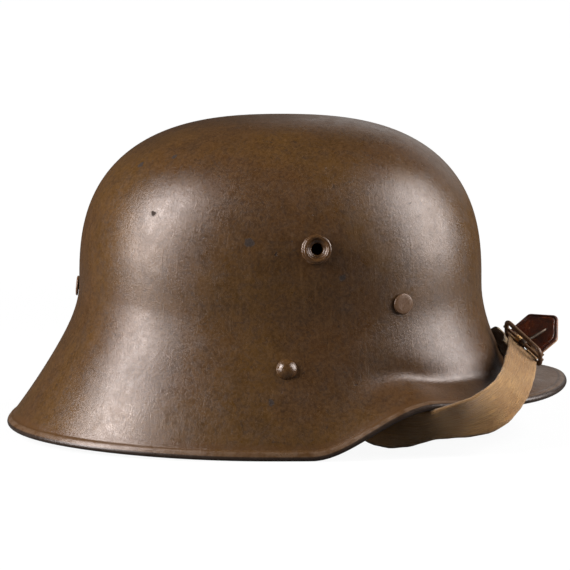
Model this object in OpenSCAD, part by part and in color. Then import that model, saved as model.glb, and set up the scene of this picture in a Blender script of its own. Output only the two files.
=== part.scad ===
// Pressed steel helmet with a flared skirt, a visor, vent lugs, a riveted
// chin strap stowed over the visor, and a three-pad leather liner.
// +X is forward, +Y is the wearer's left, +Z is up.
// The origin is below the middle of the shell, at the height of its lowest rim.

/* [Dome] */
// Height of the crown above the lowest rim
crown_height = 174; // [160:1:190]
// Dome radius towards the forehead
dome_front = 110.8; // [106:0.2:114]
// Dome radius towards the nape
dome_rear = 112.5; // [108:0.5:116]
// Half width of the dome
dome_half_width = 95.5; // [91:0.5:99]
// Superellipse power of the dome seen from above
dome_plan_power = 2.25; // [2.1:0.05:2.5]
// Superellipse power of the crown along the helmet
crown_power_length = 2.65; // [2.4:0.05:2.9]
// Superellipse power of the crown across the helmet
crown_power_width = 2.8; // [2.5:0.05:3]
// Height of the waist at forehead and nape
waist_height = 82; // [78:1:86]
// Height of the waist at the temples
waist_side_height = 74; // [70:1:78]
// Thickness of the steel
wall = 1.2; // [1:0.1:1.4]

/* [Skirt and visor] */
// Reach of the visor's edge from the dome's axis
rim_front = 158; // [155:0.5:162]
// Reach of the neck guard's edge from the dome's axis
rim_rear = 152.5; // [149:0.5:156]
// Half width over the rims
rim_half_width = 114; // [111:0.5:117]
// Superellipse power of the rim seen from above
rim_power = 2.28; // [2.15:0.01:2.4]
// Reach of the bend between brow and visor
visor_bend_reach = 128.5; // [126:0.5:131]
// Height of the bend between brow and visor
visor_bend_height = 31; // [29:0.5:33]
// Reach of the bend between nape and neck guard
neck_bend_reach = 121; // [119:0.5:123]
// Height of the bend between nape and neck guard
neck_bend_height = 53.5; // [51:0.5:56]
// Reach of the bend between temple and side skirt
side_bend_reach = 98.5; // [97:0.5:100]
// Height of the bend between temple and side skirt
side_bend_height = 50; // [47:0.5:53]
// Height of the visor's edge at its sides
visor_edge_height = 25.2; // [23:0.2:27]
// Height of the visor's edge in the middle
visor_tip_height = 26; // [24:0.5:28]
// Dip of the visor's edge between middle and sides
visor_dip = 2; // [1:0.2:3]
// Height of the neck guard's edge
neck_edge_height = 3.5; // [2:0.5:5]
// Plan angle where the step up to the visor ends
step_front_angle = 51; // [48:1:54]
// Plan angle where the step up to the visor begins
step_rear_angle = 82; // [79:1:85]
// Slope of the visor's edge from the vertical
visor_slope = 72; // [69:1:75]
// Slope of the side skirt's edge from the vertical
side_slope = 18; // [15:1:21]
// Slope of the neck guard's edge from the vertical
neck_slope = 38; // [34:1:42]
// Length over which the edge's slope is felt
slope_reach = 33; // [30:1:36]
// Thickness of the rolled edge
hem_thickness = 3; // [2.8:0.1:3.4]
// Height of the rolled edge inside
hem_height = 4.6; // [4.2:0.1:5]

/* [Vent lugs] */
// Plan angle of the vent lugs
lug_angle = 79; // [76:0.5:82]
// Height of the vent lugs
lug_height = 109; // [105:1:113]
// Radius of the shoulder against the shell
lug_shoulder_radius = 8; // [7.5:0.1:8.5]
// Thickness of the shoulder
lug_shoulder = 2.4; // [2:0.1:3]
// Radius of the neck that a brow plate hangs on
lug_neck_radius = 6.2; // [6:0.1:6.4]
// Length of the neck
lug_neck = 4.4; // [4:0.1:5]
// Radius of the outer lip
lug_lip_radius = 7.4; // [7.2:0.1:7.6]
// Thickness of the outer lip
lug_lip = 2; // [1.6:0.1:2.4]
// Radius of the vent hole
vent_radius = 3; // [2.6:0.1:3.4]
// Radius of the shank in the shell
lug_shank_radius = 5.2; // [5:0.1:5.4]

/* [Rivets and pins] */
// Plan angle of the strap rivets
rivet_angle = 88.5; // [86:0.5:91]
// Height of the strap rivets
rivet_height = 46.5; // [44:0.5:49]
// Radius of the domed rivet head
rivet_head_radius = 5.6; // [5:0.1:6]
// Height of the domed rivet head
rivet_head = 3.4; // [3:0.1:3.8]
// Radius of the rivet shank
rivet_shank_radius = 2.5; // [2.2:0.1:2.8]
// Plan angle of the front liner pins
pin_angle = 52; // [50:0.5:54]
// Height of the liner pins
pin_height = 79; // [77:0.5:81]
// Radius of the flat pin head
pin_head_radius = 5.5; // [5:0.1:6]
// Thickness of the flat pin head
pin_head = 1.3; // [1.1:0.1:1.5]
// Radius of the split pin's shank
pin_shank_radius = 2; // [1.8:0.1:2.2]
// Length of each bent pin leg
pin_leg = 9; // [7:0.5:11]
// Running clearance of a shank in its hole
shank_clearance = 0.06; // [0.04:0.01:0.1]

/* [Strap rings] */
// Width of the folded ring plate
chape_width = 15; // [13:0.5:17]
// Distance from the rivet to the ring's hinge
chape_reach = 13; // [12:0.5:14]
// Thickness of the plate's sheet
chape_sheet = 1.1; // [1:0.1:1.3]
// Forward turn of the ring plate from straight down
chape_turn = 62; // [58:1:66]
// Radius of the ring wire
ring_wire_radius = 1.5; // [1.3:0.1:1.6]
// Distance between the ring's hinge bar and strap bar
ring_depth = 16; // [15:0.5:18]
// Inward turn of the ring from the ring plate
ring_turn = 18; // [16:1:22]
// Running clearance of the ring's hinge
hinge_clearance = 0.08; // [0.06:0.01:0.1]

/* [Chin strap] */
// Width of the webbing
strap_width = 25; // [24:0.5:26]
// Thickness of the webbing
strap_thickness = 1.8; // [1.6:0.1:2]
// Length of the sewn-back end at the ring
strap_fold = 17; // [15:0.5:19]
// Half width of the buckle between the middles of its side rails
buckle_half_width = 14.8; // [14.5:0.1:15.5]
// Distance from the buckle's centre bar to its rails
buckle_half_depth = 5.6; // [5.4:0.1:6]
// Radius of the buckle's frame wire
buckle_wire_radius = 1.25; // [1.15:0.05:1.35]
// Radius of the buckle's centre bar
buckle_bar_radius = 0.9; // [0.8:0.05:1]
// Tilt of the buckle frame against the tab
buckle_tilt = 72; // [68:1:76]
// Length of the prong from the centre bar
prong_length = 15.5; // [14.5:0.5:17]
// Radius of the prong wire
prong_wire_radius = 0.9; // [0.8:0.05:1]
// Width of the leather tab
tab_width = 25; // [23:0.5:26]
// Length of the leather tab past the buckle's centre bar
tab_length = 25; // [24:0.5:28]
// Thickness of the leather tab
tab_thickness = 2.2; // [1.8:0.1:2.6]

/* [Liner] */
// Height of the leather band
band_height = 26; // [22:1:30]
// Thickness of the leather band
band_thickness = 2.2; // [1.8:0.1:2.6]
// Gap between shell and band
band_gap = 2; // [1.6:0.1:2.6]
// Thickness of a pad's leather
pad_thickness = 1.8; // [1.5:0.1:2.1]
// Depth of the pads inside the band
pad_depth = 13; // [12:0.5:14]
// Half span of a pad in plan degrees
pad_half_span = 52; // [48:1:54]
// Height of the pads' bottom fold
pad_bottom_height = 60; // [58:1:62]
// Height that the tongues reach
tongue_height = 147; // [143:1:150]
// Crown thickness of a stuffed cushion
cushion_thickness = 9.4; // [8:0.2:9.6]
// Height of a cushion
cushion_height = 46; // [40:1:50]
// Half span of a cushion in plan degrees
cushion_half_span = 38; // [34:1:42]
// Radius of the drawstring
lace_radius = 1.3; // [1.1:0.1:1.5]

/* [Hidden] */

$fn = 48;
steel_paint = "#5f4d3a";
bare_steel = "#8a8178";
webbing = "#b48c60";
tab_leather = "#4a2316";
liner_leather = "#8d6238";
cushion_cloth = "#9c8f78";
cord_white = "#b9ab90";

// The dome's axis lies where the front and rear rims are equally far from the origin
axis_x = (rim_rear - rim_front) / 2;
hem_radius = hem_thickness / 2;
column_count = 72;
crown_row_count = 13;
skirt_steps = [0.14, 0.28, 0.4, 0.52, 0.64, 0.76, 0.88, 0.96, 1];
hem_arc_count = 5;
skirt_inner_top = 0.93;
seat_gap = 0.15;

function unit(v) = v / norm(v);
function mix(a, b, t) = a + (b - a) * t;
function ease(t) = let (c = max(0, min(1, t))) c * c * (3 - 2 * c);
function flat_angle(a) = abs(atan2(sin(a), cos(a)));
function plan_radius(front, rear, side, power, a) =
    let (reach = cos(a) > 0 ? front : rear)
    pow(pow(abs(cos(a)) / reach, power) + pow(abs(sin(a)) / side, power), -1 / power);

function choose(n, k) = k == 0 ? 1 : choose(n - 1, k - 1) * n / k;
function bezier(p, t) =
    let (n = len(p) - 1, w = [for (i = [0:n]) choose(n, i) * pow(t, i) * pow(1 - t, n - i)])
    w * p;

// Shell profile in the plane of one plan angle: [radius, height]
function dome_radius(a) = plan_radius(dome_front, dome_rear, dome_half_width, dome_plan_power, a);
function waist(a) = mix(waist_height, waist_side_height, pow(sin(a), 2));
function rim_radius(a) = plan_radius(rim_front, rim_rear, rim_half_width, rim_power, a);
function edge_slope(a) =
    let (d = flat_angle(a))
    side_slope + (visor_slope - side_slope) * ease((90 - d) / 50)
        + (neck_slope - side_slope) * ease((d - 90) / 80);
function visor_height(d) =
    mix(visor_edge_height, visor_tip_height, ease((50 - d) / 50))
        - visor_dip * pow(sin(180 * min(1, d / 55)), 2);
function rim_height(a) =
    let (d = flat_angle(a))
    visor_height(d) * ease((step_rear_angle - d) / (step_rear_angle - step_front_angle))
        + neck_edge_height * ease((d - 95) / 85);
function hem_centre(a) = [rim_radius(a) - hem_radius, rim_height(a) + hem_radius];
function hem_out(a) = let (f = edge_slope(a)) [cos(f), sin(f)];
function hem_down(a) = let (f = edge_slope(a)) [sin(f), -cos(f)];
function crown_profile(a, t) =
    let (
        power = mix(crown_power_length, crown_power_width, pow(sin(a), 2)),
        rise = crown_height - waist(a))
    [dome_radius(a) * pow(sin(90 * t), 2 / power),
        waist(a) + rise * pow(max(0, cos(90 * t)), 2 / power)];
function bend_point(a) =
    let (
        side = pow(sin(a), 4),
        front = cos(a) > 0,
        reach = front ? visor_bend_reach / dome_front : neck_bend_reach / dome_rear,
        height = front ? visor_bend_height : neck_bend_height)
    [dome_radius(a) * mix(reach, side_bend_reach / dome_half_width, side),
        mix(height, side_bend_height, side)];
function skirt_profile(a, u) =
    let (
        start = [dome_radius(a), waist(a)],
        bend = bend_point(a),
        end = hem_centre(a) + hem_radius * hem_out(a),
        drop = norm(bend - start) / 2)
    bezier([start, start - [0, drop], bend, bend, end - slope_reach * hem_down(a), end], u);
function shell_profile(a, t) = t <= 1 ? crown_profile(a, t) : skirt_profile(a, t - 1);
function in_plan(a, p) = [axis_x + p[0] * cos(a), p[0] * sin(a), p[1]];
function shell_point(a, t) = in_plan(a, shell_profile(a, t));
function shell_normal(a, t) =
    let (
        e = 0.01,
        around = shell_point(a + 1, t) - shell_point(a - 1, t),
        along = shell_point(a, min(2, t + e)) - shell_point(a, t - e))
    unit(cross(along, around));
function inner_point(a, t) = shell_point(a, t) - wall * shell_normal(a, t);
// Station on the outer surface at a given height, found by halving
function at_height(a, z, low = 0.2, high = 1.9, n = 26) =
    n == 0 ? (low + high) / 2 :
    let (t = (low + high) / 2)
    shell_profile(a, t)[1] > z ? at_height(a, z, t, high, n - 1) : at_height(a, z, low, t, n - 1);

// Rows of points that close over themselves, joined by triangles
function ring_faces(rows, n) = [
    for (i = [0:rows - 2], k = [0:n - 1])
        let (m = (k + 1) % n, p = i * n, q = (i + 1) * n)
        each [[p + k, p + m, q + k], [p + m, q + m, q + k]]];

module shell_skin() {
    function angle_of(k) = k * 360 / column_count;
    outer = [
        for (i = [1:crown_row_count])
            [for (k = [0:column_count - 1]) shell_point(angle_of(k), i / crown_row_count)],
        for (u = skirt_steps) [for (k = [0:column_count - 1]) shell_point(angle_of(k), 1 + u)]];
    hem = [for (i = [1:hem_arc_count])
        let (turn = 180 * i / hem_arc_count)
        [for (k = [0:column_count - 1])
            let (a = angle_of(k))
            in_plan(a, hem_centre(a)
                + hem_radius * (cos(turn) * hem_out(a) + sin(turn) * hem_down(a)))]];
    hem_top = [[for (k = [0:column_count - 1])
        let (a = angle_of(k))
        in_plan(a, hem_centre(a) - hem_radius * hem_out(a)
            - (hem_height - hem_radius) * hem_down(a))]];
    inner = [
        for (i = [len(skirt_steps) - 3:-1:0]) [for (k = [0:column_count - 1])
            inner_point(angle_of(k), 1 + skirt_steps[i] * skirt_inner_top / skirt_steps[6])],
        for (i = [crown_row_count:-1:1])
            [for (k = [0:column_count - 1]) inner_point(angle_of(k), i / crown_row_count)]];
    rows = concat(outer, hem, hem_top, inner);
    points = concat([for (r = rows) each r],
        [[axis_x, 0, crown_height], [axis_x, 0, crown_height - wall]]);
    top = len(rows) * column_count;
    last = (len(rows) - 1) * column_count;
    polyhedron(points, concat(
        [for (k = [0:column_count - 1]) [top, (k + 1) % column_count, k]],
        ring_faces(len(rows), column_count),
        [for (k = [0:column_count - 1]) [top + 1, last + k, last + (k + 1) % column_count]]),
        convexity = 6);
}

// The steel may rise beside a head towards the skirt: the head sits on its highest point
function head_seat(a, z, radius) =
    let (
        middle = at_height(a, z),
        rises = [for (level = [z - radius, z + radius])
            (shell_point(a, at_height(a, level)) - shell_point(a, middle)) * shell_normal(a, middle)])
    seat_gap + max(0, max(rises));

// Puts its children on the outer surface: +X forward, +Y up the steel, +Z outward
module on_shell(a, t) {
    p = shell_point(a, t);
    n = shell_normal(a, t);
    f = unit(cross([0, 0, 1], n));
    u = cross(n, f);
    multmatrix([
        [f[0], u[0], n[0], p[0]],
        [f[1], u[1], n[1], p[1]],
        [f[2], u[2], n[2], p[2]],
        [0, 0, 0, 1]])
        children();
}

module at_lug() {
    on_shell(-lug_angle, at_height(-lug_angle, lug_height)) children();
}
module at_rivet() {
    on_shell(-rivet_angle, at_height(-rivet_angle, rivet_height)) children();
}
module at_pin(a) {
    on_shell(a, at_height(a, pin_height)) children();
}
module to_left() {
    mirror([0, 1, 0]) children();
}
module through_hole(radius) {
    translate([0, 0, -4 * wall]) cylinder(r = radius + shank_clearance, h = 8 * wall);
}

module shell() {
    color(steel_paint)
        difference() {
            shell_skin();
            at_lug() through_hole(lug_shank_radius);
            to_left() at_lug() through_hole(lug_shank_radius);
            at_rivet() through_hole(rivet_shank_radius);
            to_left() at_rivet() through_hole(rivet_shank_radius);
            for (a = [-pin_angle, pin_angle, 180]) at_pin(a) through_hole(pin_shank_radius);
        }
}

// Vent lugs: a hollow stud with shoulder, neck and lip, peened over inside
lug_seat = 0.5;
lug_peen = 1.1;
lug_peen_radius = 7;
lug_length = lug_shoulder + lug_neck + lug_lip;
module vent_lug() {
    inside = -wall - lug_seat - lug_peen;
    edge = 0.5;
    rotate_extrude()
        polygon([
            [vent_radius, inside], [lug_peen_radius - edge, inside],
            [lug_peen_radius, inside + edge], [lug_peen_radius, inside + lug_peen],
            [lug_shank_radius, inside + lug_peen], [lug_shank_radius, seat_gap],
            [lug_shoulder_radius, seat_gap], [lug_shoulder_radius, lug_shoulder - edge],
            [lug_shoulder_radius - edge, lug_shoulder], [lug_neck_radius, lug_shoulder],
            [lug_neck_radius, lug_shoulder + lug_neck], [lug_lip_radius - edge, lug_shoulder + lug_neck],
            [lug_lip_radius, lug_shoulder + lug_neck + edge], [lug_lip_radius, lug_length - edge],
            [lug_lip_radius - edge, lug_length], [vent_radius + edge, lug_length],
            [vent_radius, lug_length - edge]]);
}
module vent_lug_right() {
    color(steel_paint) at_lug() vent_lug();
}
module vent_lug_left() {
    color(steel_paint) to_left() at_lug() vent_lug();
}

// Strap rivets: a domed head outside, a shank through the ring plate, peened inside
plate_gap = 0.8;
plate_outer = wall + plate_gap;
plate_thickness = 2 * chape_sheet + 0.2;
peen_height = 1.2;
peen_radius = 4.2;
module strap_rivet() {
    dome_sphere = (pow(rivet_head_radius, 2) + pow(rivet_head, 2)) / (2 * rivet_head);
    peen_top = -plate_outer - plate_thickness - seat_gap;
    seat = head_seat(-rivet_angle, rivet_height, rivet_head_radius);
    rotate_extrude()
        union() {
            intersection() {
                translate([0, seat + rivet_head - dome_sphere]) circle(r = dome_sphere);
                translate([0, seat]) square([rivet_head_radius, rivet_head]);
            }
            translate([0, peen_top - peen_height / 2])
                square([rivet_shank_radius, seat - peen_top + peen_height]);
            polygon([[0, peen_top - peen_height], [peen_radius - 1, peen_top - peen_height],
                [peen_radius, peen_top - peen_height / 2], [peen_radius, peen_top], [0, peen_top]]);
        }
}
module strap_rivet_right() {
    color(steel_paint) at_rivet() strap_rivet();
}
module strap_rivet_left() {
    color(steel_paint) to_left() at_rivet() strap_rivet();
}

// Ring plates: a strip folded over the ring's hinge bar, both leaves on the rivet
knuckle_bore = ring_wire_radius + hinge_clearance;
knuckle_radius = knuckle_bore + chape_sheet;
hinge_depth = plate_outer + knuckle_radius;
plate_tail = 7;
leaf_drop = 0.05;
module ring_plate() {
    // Local frame: +X from the rivet to the hinge, +Y outward, the width along Z
    rotate([0, 0, chape_turn - 90])
        rotate([90, 0, 0])
        translate([0, 0, -chape_width / 2])
        difference() {
            union() {
                translate([chape_reach, -hinge_depth, 0]) cylinder(r = knuckle_radius, h = chape_width);
                translate([-plate_tail, -plate_outer - leaf_drop - chape_sheet, 0])
                    cube([plate_tail + chape_reach, chape_sheet, chape_width]);
                linear_extrude(chape_width)
                    polygon([[-plate_tail, -plate_outer - chape_sheet - 0.2],
                        [chape_reach - knuckle_radius, -plate_outer - chape_sheet - 0.2],
                        [chape_reach - knuckle_bore, -hinge_depth + 0.6],
                        [chape_reach - knuckle_bore, -hinge_depth - 0.2],
                        [chape_reach - knuckle_radius - 1.4, -plate_outer - plate_thickness],
                        [-plate_tail, -plate_outer - plate_thickness]]);
            }
            translate([chape_reach, -hinge_depth, -1]) cylinder(r = knuckle_bore, h = chape_width + 2);
            translate([0, 0, chape_width / 2])
                rotate([90, 0, 0])
                cylinder(r = rivet_shank_radius + shank_clearance, h = 20, center = true);
        }
}
module ring_plate_right() {
    color(steel_paint) at_rivet() ring_plate();
}
module ring_plate_left() {
    color(steel_paint) to_left() at_rivet() ring_plate();
}

// Strap rings: a rectangular wire loop
ring_corner = 3;
ring_half_width = strap_width / 2 + 1 + ring_wire_radius;
module wire_loop(half_width, depth, corner, radius) {
    // Bars along Z at X = 0 and X = depth
    for (x = [0, depth])
        translate([x, 0, 0])
        cylinder(r = radius, h = 2 * (half_width - corner), center = true);
    for (z = [-half_width, half_width])
        translate([depth / 2, 0, z])
        rotate([0, 90, 0])
        cylinder(r = radius, h = depth - 2 * corner, center = true);
    for (far = [0, 1], up = [0, 1])
        translate([far ? depth - corner : corner, 0, (up ? 1 : -1) * (half_width - corner)])
        mirror([far ? 0 : 1, 0, 0])
        mirror([0, 0, up ? 0 : 1])
        rotate([90, 0, 0])
        rotate_extrude(angle = 90)
        translate([corner, 0]) circle(r = radius);
}
module strap_ring() {
    rotate([0, 0, chape_turn - 90])
        rotate([90, 0, 0])
        translate([chape_reach, -hinge_depth, 0])
        rotate([0, 0, -ring_turn])
        wire_loop(ring_half_width, ring_depth, ring_corner, ring_wire_radius);
}
module strap_ring_right() {
    color(bare_steel) at_rivet() strap_ring();
}
module strap_ring_left() {
    color(bare_steel) to_left() at_rivet() strap_ring();
}

// Liner band and its three split pins
function band_outer(a) = dome_radius(a) - wall - band_gap;
function band_inner(a) = band_outer(a) - band_thickness;
band_bottom = pin_height - band_height / 2;
module liner_band() {
    steps = 96;
    color(liner_leather)
        difference() {
            translate([axis_x, 0, band_bottom])
                linear_extrude(band_height)
                difference() {
                    polygon([for (k = [0:steps - 1]) let (a = k * 360 / steps)
                        band_outer(a) * [cos(a), sin(a)]]);
                    polygon([for (k = [0:steps - 1]) let (a = k * 360 / steps)
                        band_inner(a) * [cos(a), sin(a)]]);
                }
            for (a = [-pin_angle, pin_angle, 180])
                at_pin(a)
                translate([0, 0, -12]) cylinder(r = pin_shank_radius + shank_clearance, h = 12);
        }
}
washer_thickness = 0.8;
washer_radius = 5.5;
washer_seat = 0.75;
spacer_radius = 4.5;
spacer_seat = 0.45;
band_back = wall + band_gap + band_thickness;
leg_top = band_back + washer_seat + washer_thickness + seat_gap;
leg_thickness = 1;
function pin_seat(a) = seat_gap + head_seat(a, pin_height, pin_head_radius);
module liner_pin(seat) {
    translate([0, 0, seat]) cylinder(r1 = pin_head_radius, r2 = pin_head_radius - 0.4, h = pin_head);
    translate([0, 0, -leg_top - leg_thickness])
        cylinder(r = pin_shank_radius, h = leg_top + leg_thickness + seat + seat_gap);
    for (side = [-1, 1])
        translate([side * (pin_leg + 1) / 2, 0, -leg_top - leg_thickness / 2])
        cube([pin_leg - 1, 3, leg_thickness], center = true);
}
module liner_pin_right() {
    color(steel_paint) at_pin(-pin_angle) liner_pin(pin_seat(-pin_angle));
}
module liner_pin_left() {
    color(steel_paint) at_pin(pin_angle) liner_pin(pin_seat(pin_angle));
}
module liner_pin_rear() {
    color(steel_paint) at_pin(180) liner_pin(pin_seat(180));
}
module flat_ring(outer, inner, height) {
    difference() {
        cylinder(r = outer, h = height);
        translate([0, 0, -1]) cylinder(r = inner, h = height + 2);
    }
}
module pin_washers() {
    color(bare_steel)
        for (a = [-pin_angle, pin_angle, 180])
            at_pin(a)
            translate([0, 0, -leg_top + seat_gap])
            flat_ring(washer_radius, pin_shank_radius + shank_clearance, washer_thickness);
}
module band_spacers() {
    spacer = band_gap - 2 * spacer_seat;
    color(tab_leather)
        for (a = [-pin_angle, pin_angle, 180])
            at_pin(a)
            translate([0, 0, -wall - band_gap + spacer_seat])
            flat_ring(spacer_radius, pin_shank_radius + shank_clearance, spacer);
}

// Liner pads: leather flaps folded up from the band, each cut into two tongues
pad_row_count = 14;
tongue_column_count = 7;
slit_row_number = 6;
tongue_half_span = pad_half_span / 2;
slit_half = 2.5;
tongue_tip_share = 0.24;
pad_sewn = pad_thickness / 2 + 0.35;
lace_station = 0.94;
lace_hole_radius = 3;
pad_centres = [0, 120, 240];
function pad_profile(a, t) =
    let (b = band_inner(a))
    bezier([[b - pad_sewn, band_bottom + 3], [b - pad_sewn - 1, pad_bottom_height - 8],
        [b - pad_depth - 5, pad_bottom_height - 6], [b - pad_depth - 2, 96],
        [b - pad_depth - 6, tongue_height - 4], [b * 0.62, tongue_height + 3],
        [b * tongue_tip_share, tongue_height]], t);
function pad_angle(centre, side, v, t, grow) =
    let (
        slit = slit_half * grow,
        tip = sqrt(1 - 0.8 * pow(max(0, (t - 0.78) / 0.22), 2)))
    centre + side * tongue_half_span + v * (tongue_half_span - slit) * tip;
function pad_point(centre, side, v, t, offset, grow) =
    let (
        a = pad_angle(centre, side, v, t, grow),
        along = pad_profile(a, min(1, t + 0.01)) - pad_profile(a, max(0, t - 0.01)),
        out = unit([along[1], -along[0]]))
    in_plan(a, pad_profile(a, t) + offset * out);
module liner_pad(centre) {
    cols = tongue_column_count + 1;
    grid = (pad_row_count + 1) * cols;
    // Four grids: inside left, inside right, outside left, outside right
    points = [for (offset = [-pad_thickness / 2, pad_thickness / 2], side = [-1, 1],
        i = [0:pad_row_count], j = [0:tongue_column_count])
        pad_point(centre, side, 2 * j / tongue_column_count - 1, i / pad_row_count, offset,
            ease((i - slit_row_number) / 3))];
    function id(layer, half, i, j) = (layer * 2 + half) * grid + i * cols + j;
    function wall_pair(half, i0, j0, i1, j1) =
        [[id(0, half, i0, j0), id(1, half, i0, j0), id(0, half, i1, j1)],
            [id(1, half, i0, j0), id(1, half, i1, j1), id(0, half, i1, j1)]];
    faces = concat(
        [for (half = [0, 1], i = [0:pad_row_count - 1], j = [0:tongue_column_count - 1])
            each [
                [id(0, half, i, j), id(0, half, i, j + 1), id(0, half, i + 1, j)],
                [id(0, half, i, j + 1), id(0, half, i + 1, j + 1), id(0, half, i + 1, j)],
                [id(1, half, i, j), id(1, half, i + 1, j), id(1, half, i, j + 1)],
                [id(1, half, i, j + 1), id(1, half, i + 1, j), id(1, half, i + 1, j + 1)]]],
        [for (half = [0, 1], j = [0:tongue_column_count - 1])
            each concat(wall_pair(half, 0, j, 0, j + 1),
                wall_pair(half, pad_row_count, j + 1, pad_row_count, j))],
        [for (i = [0:pad_row_count - 1])
            each concat(wall_pair(0, i + 1, 0, i, 0),
                wall_pair(1, i, tongue_column_count, i + 1, tongue_column_count))],
        [for (i = [slit_row_number:pad_row_count - 1])
            each concat(wall_pair(0, i, tongue_column_count, i + 1, tongue_column_count),
                wall_pair(1, i + 1, 0, i, 0))]);
    color(liner_leather)
        difference() {
            polyhedron(points, faces, convexity = 8);
            for (side = [-1, 1])
                let (a = centre + side * tongue_half_span, p = pad_profile(a, lace_station))
                translate([axis_x + p[0] * cos(a), p[0] * sin(a), p[1] - 10])
                cylinder(r = lace_hole_radius, h = 20);
        }
}
module liner_pad_front() {
    liner_pad(0);
}
module liner_pad_rear_left() {
    liner_pad(120);
}
module liner_pad_rear_right() {
    liner_pad(-120);
}

// Stuffed cushions between the pads and the band
cushion_column_count = 12;
cushion_row_count = 8;
cushion_bottom = 70;
module pad_cushion(centre) {
    cols = cushion_column_count + 1;
    grid = (cushion_row_count + 1) * cols;
    function swell(s) = pow(max(0, 1 - pow(abs(s), 2.6)), 0.5);
    function cushion_point(i, j, side) =
        let (
            s = 2 * j / cushion_column_count - 1,
            v = 2 * i / cushion_row_count - 1,
            pull = 1 - 0.06 * v * v,
            a = centre + s * cushion_half_span * pull,
            z = cushion_bottom + cushion_height * (0.5 + v / 2 * (1 - 0.07 * s * s)),
            thick = cushion_thickness / 2 * swell(s) * swell(v),
            middle = band_inner(a) - 0.4 - cushion_thickness / 2 - 0.02 * max(0, z - 95))
        in_plan(a, [middle + side * thick, z]);
    points = [for (side = [-1, 1], i = [0:cushion_row_count], j = [0:cushion_column_count])
        cushion_point(i, j, side)];
    function at_edge(i, j) = i == 0 || i == cushion_row_count || j == 0 || j == cushion_column_count;
    function id(side, i, j) = (at_edge(i, j) ? 0 : side) * grid + i * cols + j;
    // Each cell is cut from the corner of its quarter, so no triangle lies on the edge alone
    function halves(i, j) =
        (i < cushion_row_count / 2) == (j < cushion_column_count / 2)
            ? [[[0, 0], [0, 1], [1, 1]], [[0, 0], [1, 1], [1, 0]]]
            : [[[0, 0], [0, 1], [1, 0]], [[0, 1], [1, 1], [1, 0]]];
    faces = [for (i = [0:cushion_row_count - 1], j = [0:cushion_column_count - 1], h = halves(i, j))
        each [
            [for (c = h) id(0, i + c[0], j + c[1])],
            [for (c = [h[0], h[2], h[1]]) id(1, i + c[0], j + c[1])]]];
    color(cushion_cloth) polyhedron(points, faces, convexity = 4);
}
module pad_cushion_front() {
    pad_cushion(0);
}
module pad_cushion_rear_left() {
    pad_cushion(120);
}
module pad_cushion_rear_right() {
    pad_cushion(-120);
}

// A tube of given radius along a closed loop of points
function tube_ring(p, q, r, radius, sides) =
    let (
        along = unit(r - p),
        flat = unit(cross(along, [0, 0, 1])),
        up = cross(flat, along))
    [for (s = [0:sides - 1]) let (b = 360 * s / sides) q + radius * (cos(b) * flat + sin(b) * up)];
module closed_tube(path, radius, sides) {
    n = len(path);
    rings = [for (i = [0:n - 1]) tube_ring(path[(i + n - 1) % n], path[i], path[(i + 1) % n], radius, sides)];
    points = [for (r = rings) each r];
    faces = [for (i = [0:n - 1], s = [0:sides - 1])
        let (p = i * sides, q = (i + 1) % n * sides, m = (s + 1) % sides)
        each [[p + s, p + m, q + s], [q + s, p + m, q + m]]];
    polyhedron(points, faces, convexity = 6);
}
// The drawstring goes up through one tongue's hole and down through the next one's
lace_steps = [-2.4, -1.2, 0, 1.2, 2.4];
lace_weave = pad_thickness / 2 + lace_radius + 0.35;
module crown_lace() {
    tongues = [for (c = pad_centres, side = [-1, 1]) c + side * tongue_half_span];
    path = [for (k = [0:len(tongues) - 1])
        let (
            a = tongues[k],
            next = k == len(tongues) - 1 ? tongues[0] + 360 : tongues[k + 1],
            climb = k % 2 == 0 ? 1 : -1,
            degree = 180 / (PI * pad_profile(a, lace_station)[0]))
        each concat(
            [for (s = lace_steps)
                let (b = a + s * degree, share = s / max(lace_steps))
                in_plan(b, pad_profile(b, lace_station) + [0, climb * share * lace_weave])],
            [for (m = [0.25, 0.42, 0.58, 0.75])
                let (b = mix(a, next, m))
                in_plan(b, pad_profile(b, lace_station) + [0, climb * lace_weave])])];
    color(cord_white) closed_tube(path, lace_radius, 6);
}

// A flat band swept along stations of [middle, direction of its width]
function webbing_ring(before, here, after, width) =
    let (
        across = unit(here[1]),
        along = unit(after[0] - before[0]),
        up = unit(cross(across, along)),
        half = across * width / 2,
        rise = up * strap_thickness / 2)
    [here[0] - half - rise, here[0] + half - rise, here[0] + half + rise, here[0] - half + rise];
module webbing_band(stations, width) {
    n = len(stations);
    rings = [for (i = [0:n - 1])
        webbing_ring(stations[max(0, i - 1)], stations[i], stations[min(n - 1, i + 1)], width)];
    points = [for (r = rings) each r];
    faces = concat(
        [[0, 2, 1], [0, 3, 2]],
        [for (i = [0:n - 2], s = [0:3])
            let (p = 4 * i, q = 4 * (i + 1), m = (s + 1) % 4)
            each [[p + s, p + m, q + s], [q + s, p + m, q + m]]],
        [[4 * n - 4, 4 * n - 3, 4 * n - 2], [4 * n - 4, 4 * n - 2, 4 * n - 1]]);
    polyhedron(points, faces, convexity = 8);
}
// Smooth stations through the hand-set ones
function spline(p, i, t) =
    let (
        a = p[max(0, i - 1)], b = p[i], c = p[i + 1], d = p[min(len(p) - 1, i + 2)],
        t2 = t * t, t3 = t2 * t)
    0.5 * ((2 * b) + (c - a) * t + (2 * a - 5 * b + 4 * c - d) * t2 + (3 * b - a - 3 * c + d) * t3);
function smooth_stations(list, steps) =
    let (
        middles = [for (s = list) s[0]],
        widths = [for (s = list) unit(s[1])])
    [for (i = [0:len(list) - 2], k = [0:steps - 1])
        [spline(middles, i, k / steps), spline(widths, i, k / steps)],
        list[len(list) - 1]];

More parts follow.
